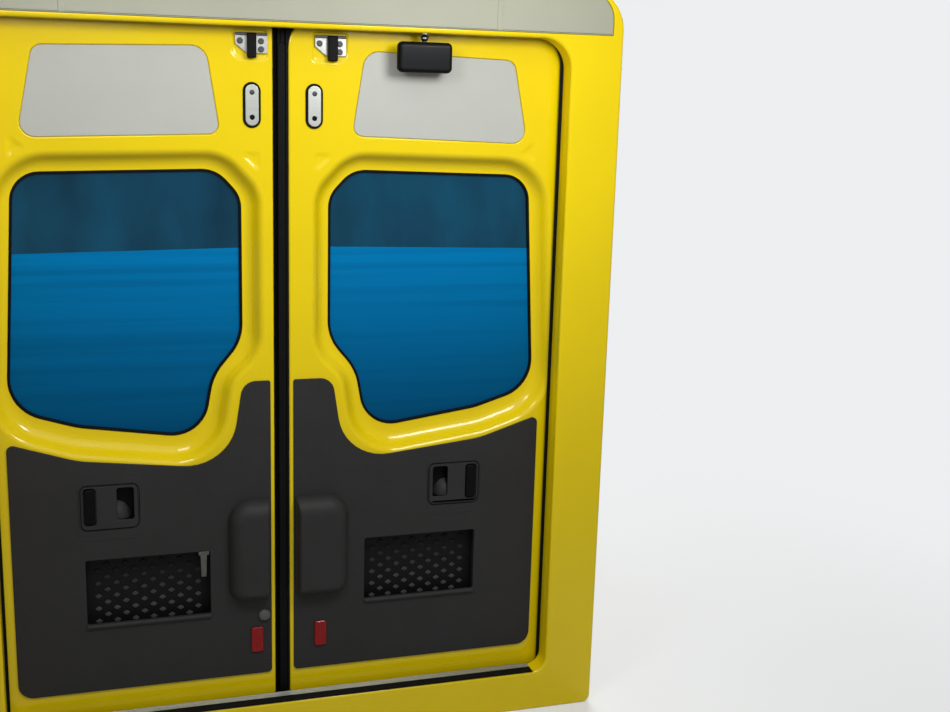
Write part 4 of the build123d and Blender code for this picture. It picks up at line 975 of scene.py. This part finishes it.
# Oval cover plates: satin aluminium on a rubber gasket, held by one screw near the top, with the
# round release hole near the bottom.
oval_half, hole_height, screw_height = 23, 1600, 1663
cover_front, cover_rear, cover_inset, hole_outer, hole_inner = 69.4, 72, 6, 8, 6.5
pad_edge = bent((-8, 71.5, 0), (-1, 71.5, 3), (0, 77, 1), (-8, 77, 0))
oval_edge = bent((-8.5, cover_front, 0), (-cover_inset, cover_front, 1.2), (-cover_inset, cover_rear, 0))
hole_edge = bent((hole_outer, cover_front, 0), (hole_inner, cover_front, 0.8), (hole_inner, cover_rear, 0))
screw_profile = [(0, 72), (6.5, 72), (6.5, 69.2), (5, 68.2), (2.6, 67.9), (2.4, 69.2), (0, 69.2)]
for side, across in (("left", -91), ("right", 70)):
    oval = rectangle(across - oval_half, across + oval_half, 1573, 1689, oval_half - 0.1, steps=14)
    hole = (np.zeros_like(circle) + (across, hole_height), circle)
    piece(
        "oval_pad_" + side, slab(oval, pad_edge),
        rubber, "door_" + side, "black_rubber", "oval_gasket_" + side,
    )
    plate_parts = [
        flat(cover_front, moved(oval, -8.5), moved(hole, hole_outer)),
        band(oval, oval_edge),
        band(hole, hole_edge),
        flat(cover_rear, moved(oval, -cover_inset), moved(hole, hole_inner)),
    ]
    piece("oval_cover_" + side, plate_parts, anodised, "door_" + side, "satin_metal", "oval_plate_" + side)
    screw = turned((across, 0, screw_height), screw_profile)
    piece("oval_screw_" + side, [screw], phosphated, "door_" + side, "satin_metal")

# Free-edge seals, all extruded EPDM: the left door carries a channel and a soft flat lip that the
# right door closes against; the right door has a slim strip that widens where its head is rounded.
channel = rounded([
    (-37, panel_rear, 1), (-37, 81, 1.5), (-34, 79, 1.5), (-33.4, 98, 2), (-25, 98, 2),
    (-25, 82, 2), (-17, 82, 3), (-15, 90, 3), (-15, panel_rear, 1),
], steps=4)
piece(
    "edge_channel_left", prism(channel[0], door_foot, door_head - 0.5, "XYZ"),
    rubber, "door_left", "black_rubber", "edge_seal_left", sharp=40,
)
closing_lip = rectangle(-24.5, -4.5, -42, 1789, (4, 4, 9.8, 9.8))
closing_edge = bent((-4, 77.6, 0), (0, 78.2, 2.2), (0, 83.5, 1), (-4, 83.5, 0))
# A flat core stands behind the lip, in the gap between the doors.
core = rectangle(-16, -5, 83, panel_rear - 1, (1, 2, 2, 1), steps=3)
closing_parts = slab(closing_lip, closing_edge) + prism(core[0], door_foot + 1, door_head - 1, "XYZ")
piece("closing_lip_left", closing_parts, rubber, "door_left", "black_rubber")
strip_inner, strip_outer, strip_reach, arc_radius = 3, -3, 67, 80
arc = np.radians(np.linspace(101, 180, 14))
head_curve = np.column_stack([np.cos(arc), np.sin(arc)]) * arc_radius
head_curve += (strip_inner + arc_radius, door_head - arc_radius)
head_fill = np.concatenate([
    [(strip_inner, door_foot), (strip_outer, door_foot), (strip_outer, door_head), (strip_reach, door_head)],
    head_curve,
])
piece(
    "edge_strip_right", prism(head_fill, panel_rear, 79, "XZY"),
    rubber, "door_right", "black_rubber", "edge_seal_right", sharp=40,
)

# Hinges: cast and painted leaves on the doors and brackets on the posts, three a side, with hex
# bolts; the pins stand behind the outer skin so that the doors can fold back flat.
hinge_heights, bolt_rise = (200, 1000, 1640), 35
leaf_rear = skin_rear + 8
bolt_edge = [(0, leaf_rear - 0.5), (0, leaf_rear + 4.5), (-1.2, leaf_rear + 5.5)]
hex_angles = np.radians(np.arange(30, 390, 60))
hex_corners = np.column_stack([9.5 * np.cos(hex_angles), 9.5 * np.sin(hex_angles), np.full(6, 1.2)])
hexagon, hexagon_normals = rounded(hex_corners, steps=2)
for side, sign in sides:
    dressed("hinge_leaf_set_" + side, "hinge_leaves_" + side, 1.5, enamel, "door_" + side)
    dressed("hinge_bracket_set_" + side, "hinge_brackets_" + side, 1.5, enamel, "frame")
    for holder, body, bolt_columns in (("leaf", "door_" + side, (754, 792)), ("bracket", "frame", (877,))):
        head_parts = []
        for height in hinge_heights:
            for across in bolt_columns:
                for rise in (-bolt_rise, bolt_rise):
                    place = (sign * across, height + rise)
                    head_parts += slab((hexagon + place, hexagon_normals), bolt_edge)
        piece(f"hinge_{holder}_bolts_{side}", head_parts, phosphated, body, "yellow_paint")

# Rear lamps: lenses moulded in red acrylic and welded to their housings, which are let into the
# posts and the header from outside.
# Red lens acrylic: deep clear red over a fluted inner face, whose flutes are 9 mm wide. Each flute is painted
# lighter on one side and darker on the other, as painted light and shade.
lens, tree, shader, coords = start(
    "red_fluted_acrylic", Roughness=0.08, Coat_Weight=1.0, Coat_Roughness=0.03, Transmission_Weight=0.15,
)
level = add(tree, "SeparateXYZ", {"Vector": coords}).outputs["Z"]
phase = add(tree, "Math", {0: level, 1: 2 * math.pi * 1000 / 9}, operation="MULTIPLY")
flute = add(tree, "Math", {0: phase}, operation="SINE")
# Painted light and shade: the red is made lighter and darker across each flute.
painted_flute_shade = add(tree, "MapRange", {"Value": flute, "From Min": -1.0})
tone = add(tree, "MixRGB", {"Fac": painted_flute_shade, "Color1": linear("8A0A0E"), "Color2": linear("C2161A")})
relief = add(tree, "Bump", {"Height": flute, "Strength": 0.3, "Distance": 0.0006})
connect(shader, {"Base Color": tone, "Normal": relief})

lens_front, lens_rear = lamp_floor + 0.3, 1000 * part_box("brake_lamp")[1].y
lens_edge = bent(
    (-4, lens_front, 0), (-0.6, lens_front, 0), (-0.6, lens_rear - 1, 3),
    (-7, lens_rear, 4), (-9, lens_rear, 0),
)
for node, seat in zip(("tail_lamp_left", "tail_lamp_right", "brake_lamp"), lamp_seats):
    piece(node.replace("lamp", "lens"), slab(seat, lens_edge), lens, "frame", "red_lens", node)

# Outer handle: black moulded lever on its plate, screwed to the skin of the right door, which closes
# last, with a zinc-plated key barrel below it.
dressed("outer_lever", "outer_handle", 1.5, black_abs, "door_right")
barrel_profile = [(0, 4), (9, 4), (9, 6.6), (8, 7.4), (5.5, 7.4), (5.3, 6.4), (0, 6.4)]
barrel = turned((62, skin_rear, 832), barrel_profile)
piece("key_barrel", [barrel], zinc, "door_right", "black_plastic")
